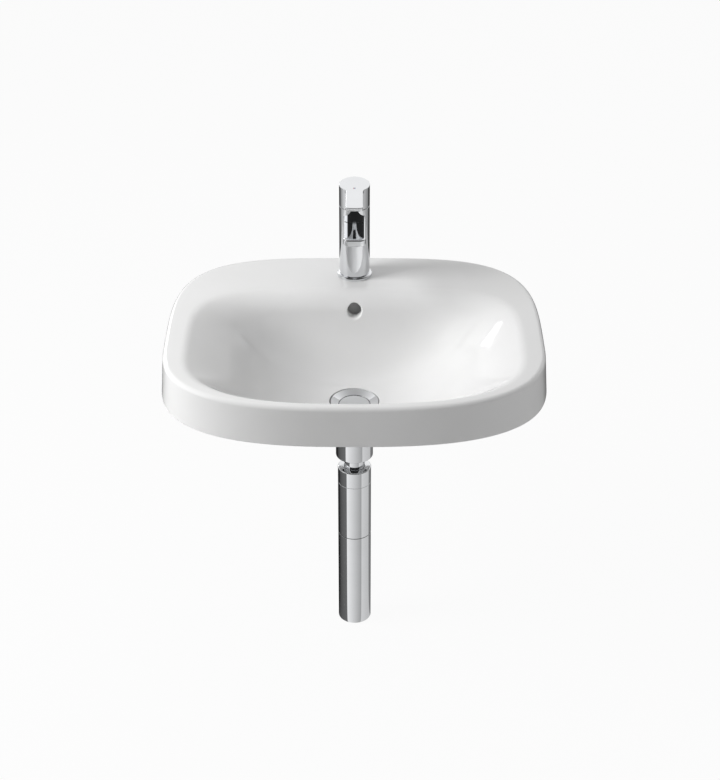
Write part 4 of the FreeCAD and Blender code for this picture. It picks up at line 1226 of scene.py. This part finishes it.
    def tongue(self) -> list[tuple[float, float]]:
        """Return half width and reach of each row of the handle's tongue, from its root to its tip.

        Returns:
            The half width and reach of each.
        """
        long = self.radius + self.tongue_root
        wide = self.tongue_half + self.tongue_root
        ahead = math.sqrt(long * long - wide * wide)
        start = math.atan2(ahead, wide)
        rows = []
        for step in range(1, self.tongue_rows + 1):
            angle = start * (1 - step / self.tongue_rows)
            rows.append((wide - self.tongue_root * math.cos(angle),
                         ahead - self.tongue_root * math.sin(angle)))
        tip = self.tongue_reach - self.tongue_tip
        for step in range(self.tongue_rows + 1):
            angle = math.pi / 2 * step / self.tongue_rows
            rows.append((self.tongue_half - self.tongue_tip * (1 - math.cos(angle)),
                         tip + self.tongue_tip * math.sin(angle)))
        return rows

    def handle_solid(self) -> Mesh:
        """Return the handle about the mixer's axis: a column whose sloped top runs out into a tongue.

        Returns:
            The mesh.
        """
        mesh = bmesh.new()
        bmesh.ops.create_circle(mesh, cap_ends=True, segments=self.segments, radius=self.radius)
        place(mesh, (0, 0, self.handle_foot))
        plate = self.handle_top - self.tongue_thick
        faces, _ = extruded(mesh, mesh.faces[:], (0, 0, plate - self.handle_foot))
        extruded(mesh, faces, (0, 0, self.tongue_thick))
        root = self.radius * (self.tongue_half + self.tongue_root) / (self.radius + self.tongue_root)
        front = [face for face in mesh.faces if face.calc_center_median().y < 0
                 and min(vert.co.z for vert in face.verts) > plate - NEAR
                 and abs(face.normal.z) < self.steep_cosine and abs(face.calc_center_median().x) < root]
        half = max(abs(vert.co.x) for face in front for vert in face.verts)
        for width, reach in self.tongue():
            front, verts = extruded(mesh, front, (0, 0, 0))
            for vert in verts:
                share = vert.co.x / half
                vert.co.x = share * width
                vert.co.y = -reach - self.tongue_bow * (1 - share * share)
            half = width
        for level in (plate, self.handle_top):
            flat = [face for face in mesh.faces if all(abs(vert.co.z - level) < NEAR for vert in face.verts)]
            bmesh.ops.dissolve_faces(mesh, faces=flat)
        for vert in mesh.verts:
            if vert.co.z > plate - NEAR:
                vert.co.z += vert.co.y * math.tan(math.radians(self.slope_deg))
        bmesh.ops.recalc_face_normals(mesh, faces=mesh.faces)
        return mesh

    def round_handle(self, mesh: Mesh) -> None:
        """Round the edges between the handle's sloped faces and its walls.

        Args:
            mesh: The handle's solid, which is worked on.
        """
        slope = math.radians(self.slope_deg)
        up = Vector((0, -math.sin(slope), math.cos(slope)))
        rims = []
        for edge in mesh.edges:
            cosines = [abs(face.normal.dot(up)) for face in edge.link_faces]
            low = min(vert.co.z for vert in edge.verts) <= self.handle_foot + self.foot_clear
            if len(cosines) == 2 and edge.is_convex and not low:
                if max(cosines) > self.level_cosine and min(cosines) < self.steep_cosine:
                    rims.append(edge)
        rounded(mesh, rims, self.handle_edge, self.handle_edge_steps)

    def build_handle(self, dresser: Dresser) -> None:
        """Round, hollow and drill the handle.

        Args:
            dresser: Gives each piece its finish, body and node.
        """
        mesh = self.handle_solid()
        self.round_handle(mesh)
        foot = min(mesh.faces, key=lambda face: face.calc_center_median().z)
        levels = [(self.radius - self.handle_wall, self.handle_top - self.handle_roof - self.handle_foot),
                  (self.boss_radius, self.boss_foot - self.handle_top + self.handle_roof),
                  (self.stem_radius, self.stem_top - self.boss_foot)]
        outer = self.radius
        for radius, rise in levels:
            bmesh.ops.inset_region(mesh, faces=[foot], thickness=outer - radius, use_even_offset=True)
            faces, _ = extruded(mesh, [foot], (0, 0, rise))
            foot = faces[0]
            outer = radius
        lean = math.radians(self.wedge_deg)
        sliced(mesh, (0, -self.wedge_start, self.handle_foot), (0, math.sin(lean), -math.cos(lean)),
               FINE_WELD)
        filled(mesh)
        piece = finished("lever_cap", place(mesh, (0, self.axis_y, 0)), self.handle_sharp_deg)
        screw = rod(self.screw_hole, self.screw_start, self.radius + OVERCUT,
                    (0, self.axis_y, self.screw_level), Along.BACK)
        mark = rod(self.index_radius, -self.index_depth, OVERCUT, (0, 0, 0), steps=self.index_steps)
        slope = Matrix.Rotation(math.radians(self.slope_deg), 4, "X")
        spot = slope @ Vector((0, -self.index_reach, 0)) + Vector((0, self.axis_y, self.handle_top))
        bmesh.ops.transform(mark, matrix=Matrix.Translation(spot) @ slope, verts=mark.verts)
        for tool in (screw, mark):
            carve(piece, tool, Carve.CUT, self.handle_sharp_deg)
        dresser.dress(piece, "chrome", "lever_handle", "lever")


@dataclass
class HexNut:
    """A hexagon nut with chamfered corners."""

    name: str
    across: float
    low: float
    high: float
    bore: float
    axis: Point
    face_inset: float = 0.4
    corner_spare: float = 0.2
    chamfer_deg: float = 30.0
    sharp_deg: float = 25.0

    def build(self) -> Piece:
        """Return the nut: a chamfered disc of which a hexagon is kept.

        Returns:
            The piece.
        """
        corner = self.across / math.sqrt(3)
        rim = corner + self.corner_spare
        flat = self.across / 2 - self.face_inset
        fall = (corner - flat) * math.tan(math.radians(self.chamfer_deg))
        blank = turned([
            (self.bore, self.low, EASED), (flat, self.low, 0), (rim, self.low + fall, 0),
            (rim, self.high - fall, 0), (flat, self.high, 0), (self.bore, self.high, EASED)], self.axis)
        nut = finished(self.name, blank, self.sharp_deg)
        prism = bmesh.new()
        bmesh.ops.create_circle(prism, cap_ends=True, segments=6, radius=corner)
        extruded(prism, prism.faces[:], (0, 0, self.high - self.low + 2 * OVERCUT))
        bmesh.ops.rotate(prism, cent=(0, 0, 0), matrix=Matrix.Rotation(math.pi / 6, 3, "Z"),
                         verts=prism.verts)
        place(prism, (self.axis[0], self.axis[1], self.low - OVERCUT))
        carve(nut, prism, Carve.KEEP, self.sharp_deg)
        return nut


@dataclass
class Waste:
    """The waste in the bowl's floor: dished flange with its barrel, push plug and backnut."""

    axis_y: float = -20.0
    floor: float = -45.5
    flange: float = 32.0
    flange_under: float = -50.5
    flange_edge: float = 1.0
    flange_round: float = 0.6
    flange_dish: float = 4.5
    cup: float = 21.0
    cup_floor: float = -55.9
    cup_wall: float = 1.4
    cup_taper: float = 1.5
    barrel: float = 20.95
    bore: float = 17.8
    barrel_end: float = -115.5
    thread_play: float = 0.1

    # The slots for the overflow's water and the bar that carries the plug's cartridge
    slot_half: float = 7.0
    slot_drop: float = 32.0
    slot_height: float = 12.0
    bar_half: float = 7.0
    bar_bottom: float = -93.5
    bar_height: float = 8.0
    bar_sink: float = 0.5
    bar_hole: float = 4.1

    plug: float = 20.3
    plug_top: float = -49.5
    plug_edge: float = 0.8
    plug_under: float = -53.0
    skirt: float = 17.0
    skirt_wall: float = 2.0
    skirt_height: float = 4.0
    boss: float = 7.0
    boss_height: float = 6.0
    stem_hole: float = 3.1
    stem_depth: float = 1.0

    backnut_top: float = -87.0
    backnut_height: float = 9.0
    backnut_across: float = 62.0

    def build(self, dresser: Dresser) -> None:
        """Make the waste's visible pieces and finish them.

        Args:
            dresser: Gives each piece its finish, body and node.
        """
        axis = (0, self.axis_y, 0)
        self.build_flange(dresser, axis)
        dresser.dress(finished("push_plug", self.plug_solid(axis)), "chrome", "waste_plug", "plug")
        nut = HexNut("barrel_nut", self.backnut_across, self.backnut_top - self.backnut_height,
                     self.backnut_top, self.barrel + self.thread_play, axis)
        dresser.dress(nut.build(), "raw_brass", "waste_backnut")

    def build_flange(self, dresser: Dresser, axis: Point) -> None:
        """Make the flange and barrel with their slots and inner bar.

        Args:
            dresser: Gives each piece its finish, body and node.
            axis: Where the upright axis stands.
        """
        cup_out = self.cup + self.cup_wall
        piece = finished("waste_flange", turned([
            (self.bore, self.barrel_end, FINE), (self.barrel, self.barrel_end, SOFT),
            (self.barrel, self.cup_floor - 2 * self.cup_taper, 0),
            (cup_out, self.cup_floor - self.cup_taper, 0), (cup_out, self.flange_under, 0),
            (self.flange, self.flange_under, FINE), (self.flange, self.floor - self.flange_edge, FINE),
            (self.flange - self.flange_edge, self.floor, self.flange_round),
            (self.cup, self.floor - self.flange_dish, SMOOTH), (self.cup, self.cup_floor, EASED),
            (self.bore, self.cup_floor, FINE)], axis, steps=FINE_STEPS))
        reach, low = self.barrel + OVERCUT, self.floor - self.slot_drop
        slot = block((-self.slot_half, self.axis_y - reach, low),
                     (self.slot_half, self.axis_y + reach, low + self.slot_height))
        carve(piece, slot, Carve.CUT)
        reach, low, high = self.bore + self.bar_sink, self.bar_bottom, self.bar_bottom + self.bar_height
        spider = block((-reach, self.axis_y - self.bar_half, low), (reach, self.axis_y + self.bar_half, high))
        carve(piece, spider, Carve.JOIN)
        carve(piece, rod(self.bar_hole, low - OVERCUT, high + OVERCUT, axis), Carve.CUT)
        dresser.dress(piece, "chrome", "waste_body")

    def plug_solid(self, axis: Point) -> Mesh:
        """Return the plug with its skirt and the boss that takes the stem.

        Args:
            axis: Where the upright axis stands.

        Returns:
            The mesh.
        """
        under, inner = self.plug_under, self.skirt - self.skirt_wall
        roof, boss_foot = under - self.stem_depth, under - self.boss_height
        skirt_foot = under - self.skirt_height
        return turned([
            (0, roof, 0), (self.stem_hole, roof, 0), (self.stem_hole, boss_foot, CRISP),
            (self.boss, boss_foot, EASED), (self.boss, under, EASED), (inner, under, EASED),
            (inner, skirt_foot, CRISP), (self.skirt, skirt_foot, FINE), (self.skirt, under, CRISP),
            (self.plug, under, EASED), (self.plug, self.plug_top - self.plug_edge, EASED),
            (self.plug - self.plug_edge, self.plug_top, SMOOTH), (0, self.plug_top, 0)],
            axis, steps=FINE_STEPS)


@dataclass
class Trap:
    """The bottle trap below the waste and its outlet to the wall."""

    axis_y: float = -20.0
    radius: float = 22.5
    wall: float = 2.0
    slide_play: float = 0.3
    thread_play: float = 0.1
    inlet_nut: float = 25.0
    inlet_low: float = -129.5
    inlet_high: float = -101.5
    inlet_thread: float = 21.05
    tube: float = 14.0
    tube_wall: float = 1.0
    tube_low: float = -316.5
    tube_flange: float = 20.45
    flange_low: float = -121.5
    flange_high: float = -118.5
    neck: float = 17.8
    neck_top: float = -157.5
    shoulder: float = -171.5
    shoulder_thick: float = 4.0
    roof_round: float = 0.8
    nut_top: float = -147.5
    seal_top: float = -152.5
    seam: float = -253.5
    cup_shoulder: float = -254.3
    cup_spigot: float = 12.0
    cup_bottom: float = -398.0
    cup_base: float = 2.5
    cup_round: float = 2.5
    outlet_level: float = -205.5
    outlet: float = 16.0
    boss: float = 19.3
    boss_end: float = 36.5
    boss_points: int = 96
    way: float = 14.0
    way_start: float = 17.0
    outlet_nut_low: float = 26.5
    outlet_nut_high: float = 46.5
    outlet_seal: float = 5.0
    pipe_inside: float = 10.0
    pipe_end: float = 400.0
    rosette: float = 38.0
    rosette_low: float = 348.0
    rosette_high: float = 360.0
    rosette_wall: float = 1.2
    rosette_collar: float = 5.0
    collar_round: float = 1.5
    rosette_collar_inside: float = 4.4

    def build(self, dresser: Dresser) -> None:
        """Make the trap's pieces and finish them.

        Args:
            dresser: Gives each piece its finish, body and node.
        """
        axis = (0, self.axis_y, 0)
        bore, inside = self.tube + self.slide_play, self.tube - self.tube_wall
        thread = self.neck + self.thread_play
        spigot, spigot_inside = self.radius - self.wall - self.thread_play, self.radius - 2 * self.wall
        spigot_top, floor = self.cup_shoulder + self.cup_spigot, self.cup_bottom + self.cup_base
        for name, node, corners in (
            ("inlet_coupling", "trap_inlet_nut", [
                (bore, self.inlet_low, EASED), (self.inlet_nut, self.inlet_low, FULL),
                (self.inlet_nut, self.inlet_high, FULL), (self.inlet_thread, self.inlet_high, EASED),
                (self.inlet_thread, self.flange_low, 0), (bore, self.flange_low, 0)]),
            ("dip_pipe", "dip_tube", [
                (inside, self.tube_low, CRISP), (self.tube, self.tube_low, CRISP),
                (self.tube, self.flange_low, 0), (self.tube_flange, self.flange_low, FINE),
                (self.tube_flange, self.flange_high, FINE), (inside, self.flange_high, FINE)]),
            ("neck_coupling", "trap_top_nut", [
                (thread, self.shoulder, FINE), (self.radius, self.shoulder, EASED),
                (self.radius, self.nut_top, FULL), (bore, self.nut_top, EASED), (bore, self.seal_top, 0),
                (thread, self.seal_top, 0)]),
            ("trap_bottle", "trap_cup", [
                (0, self.cup_bottom, 0), (self.radius, self.cup_bottom, self.cup_round),
                (self.radius, self.cup_shoulder, HAIR), (spigot, self.cup_shoulder, 0),
                (spigot, spigot_top, FINE), (spigot_inside, spigot_top, FINE), (spigot_inside, floor, ROUND),
                (0, floor, 0)]),
        ):
            dresser.dress(finished(name, turned(corners, axis, steps=FINE_STEPS)), "chrome", node)
        self.build_head(dresser, axis)
        self.build_outlet(dresser)

    def build_head(self, dresser: Dresser, axis: Point) -> None:
        """Make the trap's upper half with its outlet boss.

        Args:
            dresser: Gives each piece its finish, body and node.
            axis: Where the upright axis stands.
        """
        piece = finished("trap_head", turned([
            (0, self.seam, 0), (self.radius, self.seam, HAIR), (self.radius, self.shoulder, EASED),
            (self.neck, self.shoulder, FINE), (self.neck, self.neck_top, EASED), (0, self.neck_top, 0)],
            axis, steps=FINE_STEPS))
        side = (0, self.axis_y, self.outlet_level)
        carve(piece, rod(self.boss, 0, self.boss_end, side, Along.BACK, self.boss_points), Carve.JOIN)
        inside, bore = self.radius - self.wall, self.tube + self.slide_play
        pipe = self.outlet + self.slide_play
        low, roof, high = self.seam - OVERCUT, self.shoulder - self.shoulder_thick, self.neck_top + OVERCUT
        hollow = turned([(0, low, 0), (inside, low, 0), (inside, roof, self.roof_round), (bore, roof, 0),
                         (bore, high, 0), (0, high, 0)], axis)
        start, step, end = self.way_start, self.outlet_nut_low, self.boss_end + OVERCUT
        way = turned([(0, start, 0), (self.way, start, 0), (self.way, step, 0), (pipe, step, 0),
                      (pipe, end, 0), (0, end, 0)], side, Along.BACK)
        for tool in (hollow, way):
            carve(piece, tool, Carve.CUT)
        dresser.dress(piece, "chrome", "trap_body")

    def build_outlet(self, dresser: Dresser) -> None:
        """Make the outlet's nut, pipe and rosette.

        Args:
            dresser: Gives each piece its finish, body and node.
        """
        side = (0, self.axis_y, self.outlet_level)
        hole, inside = self.outlet + self.slide_play, self.outlet - self.tube_wall
        thread, seal = self.boss + self.thread_play, self.boss_end + self.outlet_seal
        start, sheet = self.boss_end - self.pipe_inside, self.rosette_low + self.rosette_wall
        for name, node, corners in (
            ("outlet_coupling", "outlet_nut", [
                (thread, self.outlet_nut_low, FINE), (self.radius, self.outlet_nut_low, SOFT),
                (self.radius, self.outlet_nut_high, FULL), (hole, self.outlet_nut_high, EASED),
                (hole, seal, 0), (thread, seal, 0)]),
            ("wall_pipe", "outlet_pipe", [
                (inside, start, CRISP), (self.outlet, start, CRISP), (self.outlet, self.pipe_end, EASED),
                (inside, self.pipe_end, EASED)]),
            ("wall_plate", "wall_rosette", [
                (hole, self.rosette_low, SOFT),
                (self.outlet + self.rosette_collar, self.rosette_low, self.collar_round),
                (self.rosette, self.rosette_high - self.rosette_wall, SOFT),
                (self.rosette, self.rosette_high, FINE),
                (self.rosette - self.rosette_wall, self.rosette_high, CRISP),
                (self.outlet + self.rosette_collar_inside, sheet, ROUND), (hole, sheet, CRISP)]),
        ):
            dresser.dress(finished(name, turned(corners, side, Along.BACK, FINE_STEPS)), "chrome", node)


@dataclass
class DeckFixing:
    """The threaded stud and its long nut that hold the mixer to the deck."""

    axis: Corner = (0.0, 166.0, 0.0)
    radius: float = 4.0
    root: float = 3.4
    crest: tuple[float, float] = (0.42, 0.58)
    pitch: float = 1.25
    low: float = -7.6
    high: float = 72.4
    spare_turns: int = 2
    steps: int = 24
    sharp_deg: float = 50.0
    nut_across: float = 13.0
    nut_low: float = 11.5
    nut_high: float = 33.5
    thread_play: float = 0.1

    def build(self, dresser: Dresser) -> None:
        """Make the stud and nut and finish them.

        Args:
            dresser: Gives each piece its finish, body and node.
        """
        dresser.dress(finished("threaded_stud", self.stud(), self.sharp_deg), "steel", "fixing_stud")
        nut = HexNut("stud_nut", self.nut_across, self.nut_low, self.nut_high, self.radius + self.thread_play,
                     self.axis)
        dresser.dress(nut.build(), "steel", "fixing_nut")

    def stud(self) -> Mesh:
        """Return the stud: one thread profile swept up a screw line, cut level at both ends.

        Returns:
            The mesh.
        """
        mesh = bmesh.new()
        start = self.low - self.spare_turns * self.pitch
        crest_low, crest_high = self.crest
        corners = [(self.root, 0.0), (self.radius, crest_low), (self.radius, crest_high), (self.root, 1.0)]
        verts = [mesh.verts.new((radius, 0, start + share * self.pitch)) for radius, share in corners]
        for low, high in zip(verts, verts[1:]):
            mesh.edges.new((low, high))
        turns = math.ceil((self.high - self.low) / self.pitch) + 2 * self.spare_turns
        spun(mesh, turns, self.steps * turns, self.pitch / self.steps)
        bmesh.ops.remove_doubles(mesh, verts=mesh.verts, dist=NEAR)
        for level, way in ((self.low, -1), (self.high, 1)):
            sliced(mesh, (0, 0, level), (0, 0, way), FINEST_WELD)
        filled(mesh)
        return place(mesh, self.axis)


# Studio

@dataclass(frozen=True)
class Lamp:
    """A rectangular lamp that faces the object, in metres and watts."""

    name: str
    where: Corner
    size: tuple[float, float]
    watts: float
    for_gloss: bool = False

    def hang(self) -> None:
        """Add the lamp, which lights matt surfaces or shows in glossy ones, but not both."""
        data = bpy.data.lights.new(self.name, "AREA")
        data.shape = "RECTANGLE"
        data.size, data.size_y = self.size
        data.energy = self.watts
        lamp = linked(self.name, data)
        lamp.location = self.where
        lamp.rotation_euler = (-Vector(self.where)).to_track_quat("-Z", "Y").to_euler()
        lamp.visible_glossy = self.for_gloss
        lamp.visible_diffuse = not self.for_gloss


@dataclass
class Studio:
    """The pale floor, the soft lamps and the camera of the picture."""

    frame_width: int = 720
    frame_height: int = 780
    focal_pixels: float = 2000.0
    sensor_width: float = 36.0
    camera_place: Corner = (0.0075, -2.3056, 1.3154)
    camera_pitch_deg: float = 30.47
    lamps: tuple[Lamp, ...] = (
        Lamp("left_softbox", (-1.8, -0.3, 1.05), (0.9, 1.1), 37.5),
        Lamp("top_fill", (0.0, 0.3, 2.2), (2.0, 2.0), 9.5),
        Lamp("right_fill", (1.7, -0.8, 0.0), (1.2, 0.6), 4.0),
        Lamp("back_window", (-0.9, 1.9, 0.95), (0.14, 0.6), 1.5, for_gloss=True))

    # The sky: its tones from the front to the back and a soft pale card at the left
    ambient: float = 0.3
    horizon: float = 0.97
    room: Pairs = ((0.0, 0.02), (0.32, 0.03), (0.42, 0.12), (0.6, 0.46), (0.86, 1.0))
    card_way: Corner = (-0.865, -0.216, 0.456)
    card_edges: tuple[float, float] = (0.92, 0.985)
    card_tone: float = 1.3

    # The floor, with the tones that metal shows by the angle round the object, near to it and far from it
    floor_level: float = -0.3985
    floor_half: float = 9.0
    floor_white: float = 0.95
    floor_tone: float = 0.55
    cards_centre: Corner = (0.0, -0.034, -0.3985)
    cards_reach: float = 0.55
    cards_fade: float = 1.5
    full_angle: float = 360.0
    cards: Pairs = (
        (0, 0.11), (33, 0.15), (35, 1.0), (139, 0.4), (141, 0.74), (205, 0.6), (207, 0.25), (269, 0.06),
        (271, 0.0), (328, 0.0), (330, 0.05), (360, 0.11))
    far_cards: Pairs = (
        (0, 0.7), (90, 0.8), (180, 0.5), (204, 0.34), (216, 0.26), (226, 0.03), (270, 0.0), (310, 0.03),
        (322, 0.28), (340, 0.5), (360, 0.7))

    def build(self) -> None:
        """Set up the whole studio."""
        self.add_camera()
        self.add_floor()
        self.add_world()
        for lamp in self.lamps:
            lamp.hang()
        bpy.context.scene.view_settings.view_transform = "Standard"

    def add_camera(self) -> None:
        """Place the camera that was solved from the rim's outline."""
        data = bpy.data.cameras.new("camera")
        data.sensor_width = self.sensor_width
        data.lens = self.focal_pixels * self.sensor_width / max(self.frame_width, self.frame_height)
        camera = linked("camera", data)
        camera.location = self.camera_place
        camera.rotation_euler = (math.radians(90.0 - self.camera_pitch_deg), 0.0, 0.0)
        bpy.context.scene.camera = camera

    def add_floor(self) -> None:
        """Lay the pale floor, near white to the camera but with the object's soft shadow."""
        mesh = bmesh.new()
        bmesh.ops.create_grid(mesh, x_segments=1, y_segments=1, size=self.floor_half)
        bmesh.ops.translate(mesh, vec=(0, 0, self.floor_level), verts=mesh.verts)
        floor = as_object("studio_floor", mesh)
        floor.data.materials.append(self.paper())

    def paper(self) -> bpy.types.Material:
        """Build the floor's paper, white to the camera, with grey cards all round for metal to show.

        Returns:
            The material.
        """
        paper = bpy.data.materials.new("white_paper")
        paper.use_nodes = True
        nodes = paper.node_tree.nodes
        nodes.remove(nodes["Principled BSDF"])
        graph = Graph(paper.node_tree)
        where = graph.add("ShaderNodeTexCoord").outputs["Object"]
        moved = graph.wire("ShaderNodeVectorMath", where, self.cards_centre, operation="SUBTRACT")
        centred = moved.outputs["Vector"]
        angle = graph.add("ShaderNodeTexGradient", {"gradient_type": "RADIAL"}, Vector=centred).outputs["Fac"]
        near = self.ramp(graph, angle, self.cards, self.full_angle)
        far = self.ramp(graph, angle, self.far_cards, self.full_angle)
        away = graph.wire("ShaderNodeVectorMath", centred, operation="LENGTH").outputs["Value"]
        past = graph.add("ShaderNodeMapRange", Value=away, From_Min=self.cards_reach,
                         From_Max=self.cards_fade * self.cards_reach)
        path = graph.add("ShaderNodeLightPath")
        round_about = graph.mix(past.outputs["Result"], near, far)
        tone = graph.mix(path.outputs["Is Camera Ray"], round_about, grey(1.0))
        share = graph.wire("ShaderNodeMath", self.seen(graph, path), self.floor_white, operation="MULTIPLY")
        plain = graph.add("ShaderNodeBsdfDiffuse", Color=grey(self.floor_tone))
        white = graph.add("ShaderNodeEmission", Color=tone, Strength=1.0)
        both = graph.wire("ShaderNodeMixShader", share.outputs["Value"], plain.outputs["BSDF"],
                          white.outputs["Emission"])
        graph.feed(nodes["Material Output"], "Surface", both.outputs["Shader"])
        return paper

    @staticmethod
    def ramp(graph: Graph, value: Socket, marks: Pairs, full: float) -> Socket:
        """Blend grey tones along a value.

        Args:
            graph: The tree to add to.
            value: A value from 0 to 1.
            marks: Places along it with their tones.
            full: The place that stands for 1.

        Returns:
            The blended tone.
        """
        node = graph.add("ShaderNodeValToRGB", Fac=value)
        elements = node.color_ramp.elements
        while len(elements) < len(marks):
            elements.new(1.0)
        for element, (place_along, tone) in zip(elements, marks):
            element.position = place_along / full
            element.color = grey(tone)
        return node.outputs["Color"]

    @staticmethod
    def seen(graph: Graph, path: Node) -> Socket:
        """Return a value that is 1 for rays from the camera, mirrors and glass, and 0 for the rest.

        Args:
            graph: The tree to add to.
            path: Its light path node.

        Returns:
            The value.
        """
        value = path.outputs["Is Camera Ray"]
        for name in ("Is Glossy Ray", "Is Transmission Ray"):
            either = graph.wire("ShaderNodeMath", value, path.outputs[name], operation="MAXIMUM")
            value = either.outputs["Value"]
        return value

    def add_world(self) -> None:
        """Light the studio softly all round, white behind the object and dim in front for metal to show."""
        world = bpy.data.worlds.new("studio")
        world.use_nodes = True
        nodes = world.node_tree.nodes
        graph = Graph(world.node_tree)
        soft = nodes["Background"]
        graph.feed(soft, "Color", grey(1.0))
        graph.feed(soft, "Strength", self.ambient)
        way = graph.add("ShaderNodeTexCoord").outputs["Generated"]
        parts = graph.add("ShaderNodeSeparateXYZ", Vector=way)
        back = graph.add("ShaderNodeMapRange", Value=parts.outputs["Y"], From_Min=-1.0, From_Max=1.0)
        room = self.ramp(graph, back.outputs["Result"], self.room, 1.0)
        along = graph.wire("ShaderNodeVectorMath", way, self.card_way, operation="DOT_PRODUCT")
        card = graph.add("ShaderNodeMapRange", {"interpolation_type": "SMOOTHSTEP"},
                         Value=along.outputs["Value"], From_Min=self.card_edges[0],
                         From_Max=self.card_edges[1])
        lit = graph.mix(card.outputs["Result"], room, grey(self.card_tone))
        path = graph.add("ShaderNodeLightPath")
        tone = graph.mix(path.outputs["Is Camera Ray"], lit, grey(self.horizon))
        sky = graph.add("ShaderNodeBackground", Color=tone, Strength=1.0)
        both = graph.wire("ShaderNodeMixShader", self.seen(graph, path), soft.outputs["Background"],
                          sky.outputs["Background"])
        graph.feed(nodes["World Output"], "Surface", both.outputs["Shader"])
        bpy.context.scene.world = world


def main() -> None:
    """Build the sub-assemblies in order, then the studio."""
    logging.basicConfig(level=logging.INFO, format="%(name)s %(message)s")
    dresser = Dresser()
    for part in (Basin(), Mixer(), Waste(), Trap(), DeckFixing()):
        LOG.info("building %s", type(part).__name__)
        part.build(dresser)
    dresser.carry_over()
    Studio().build()


if __name__ == "__main__":
    main()
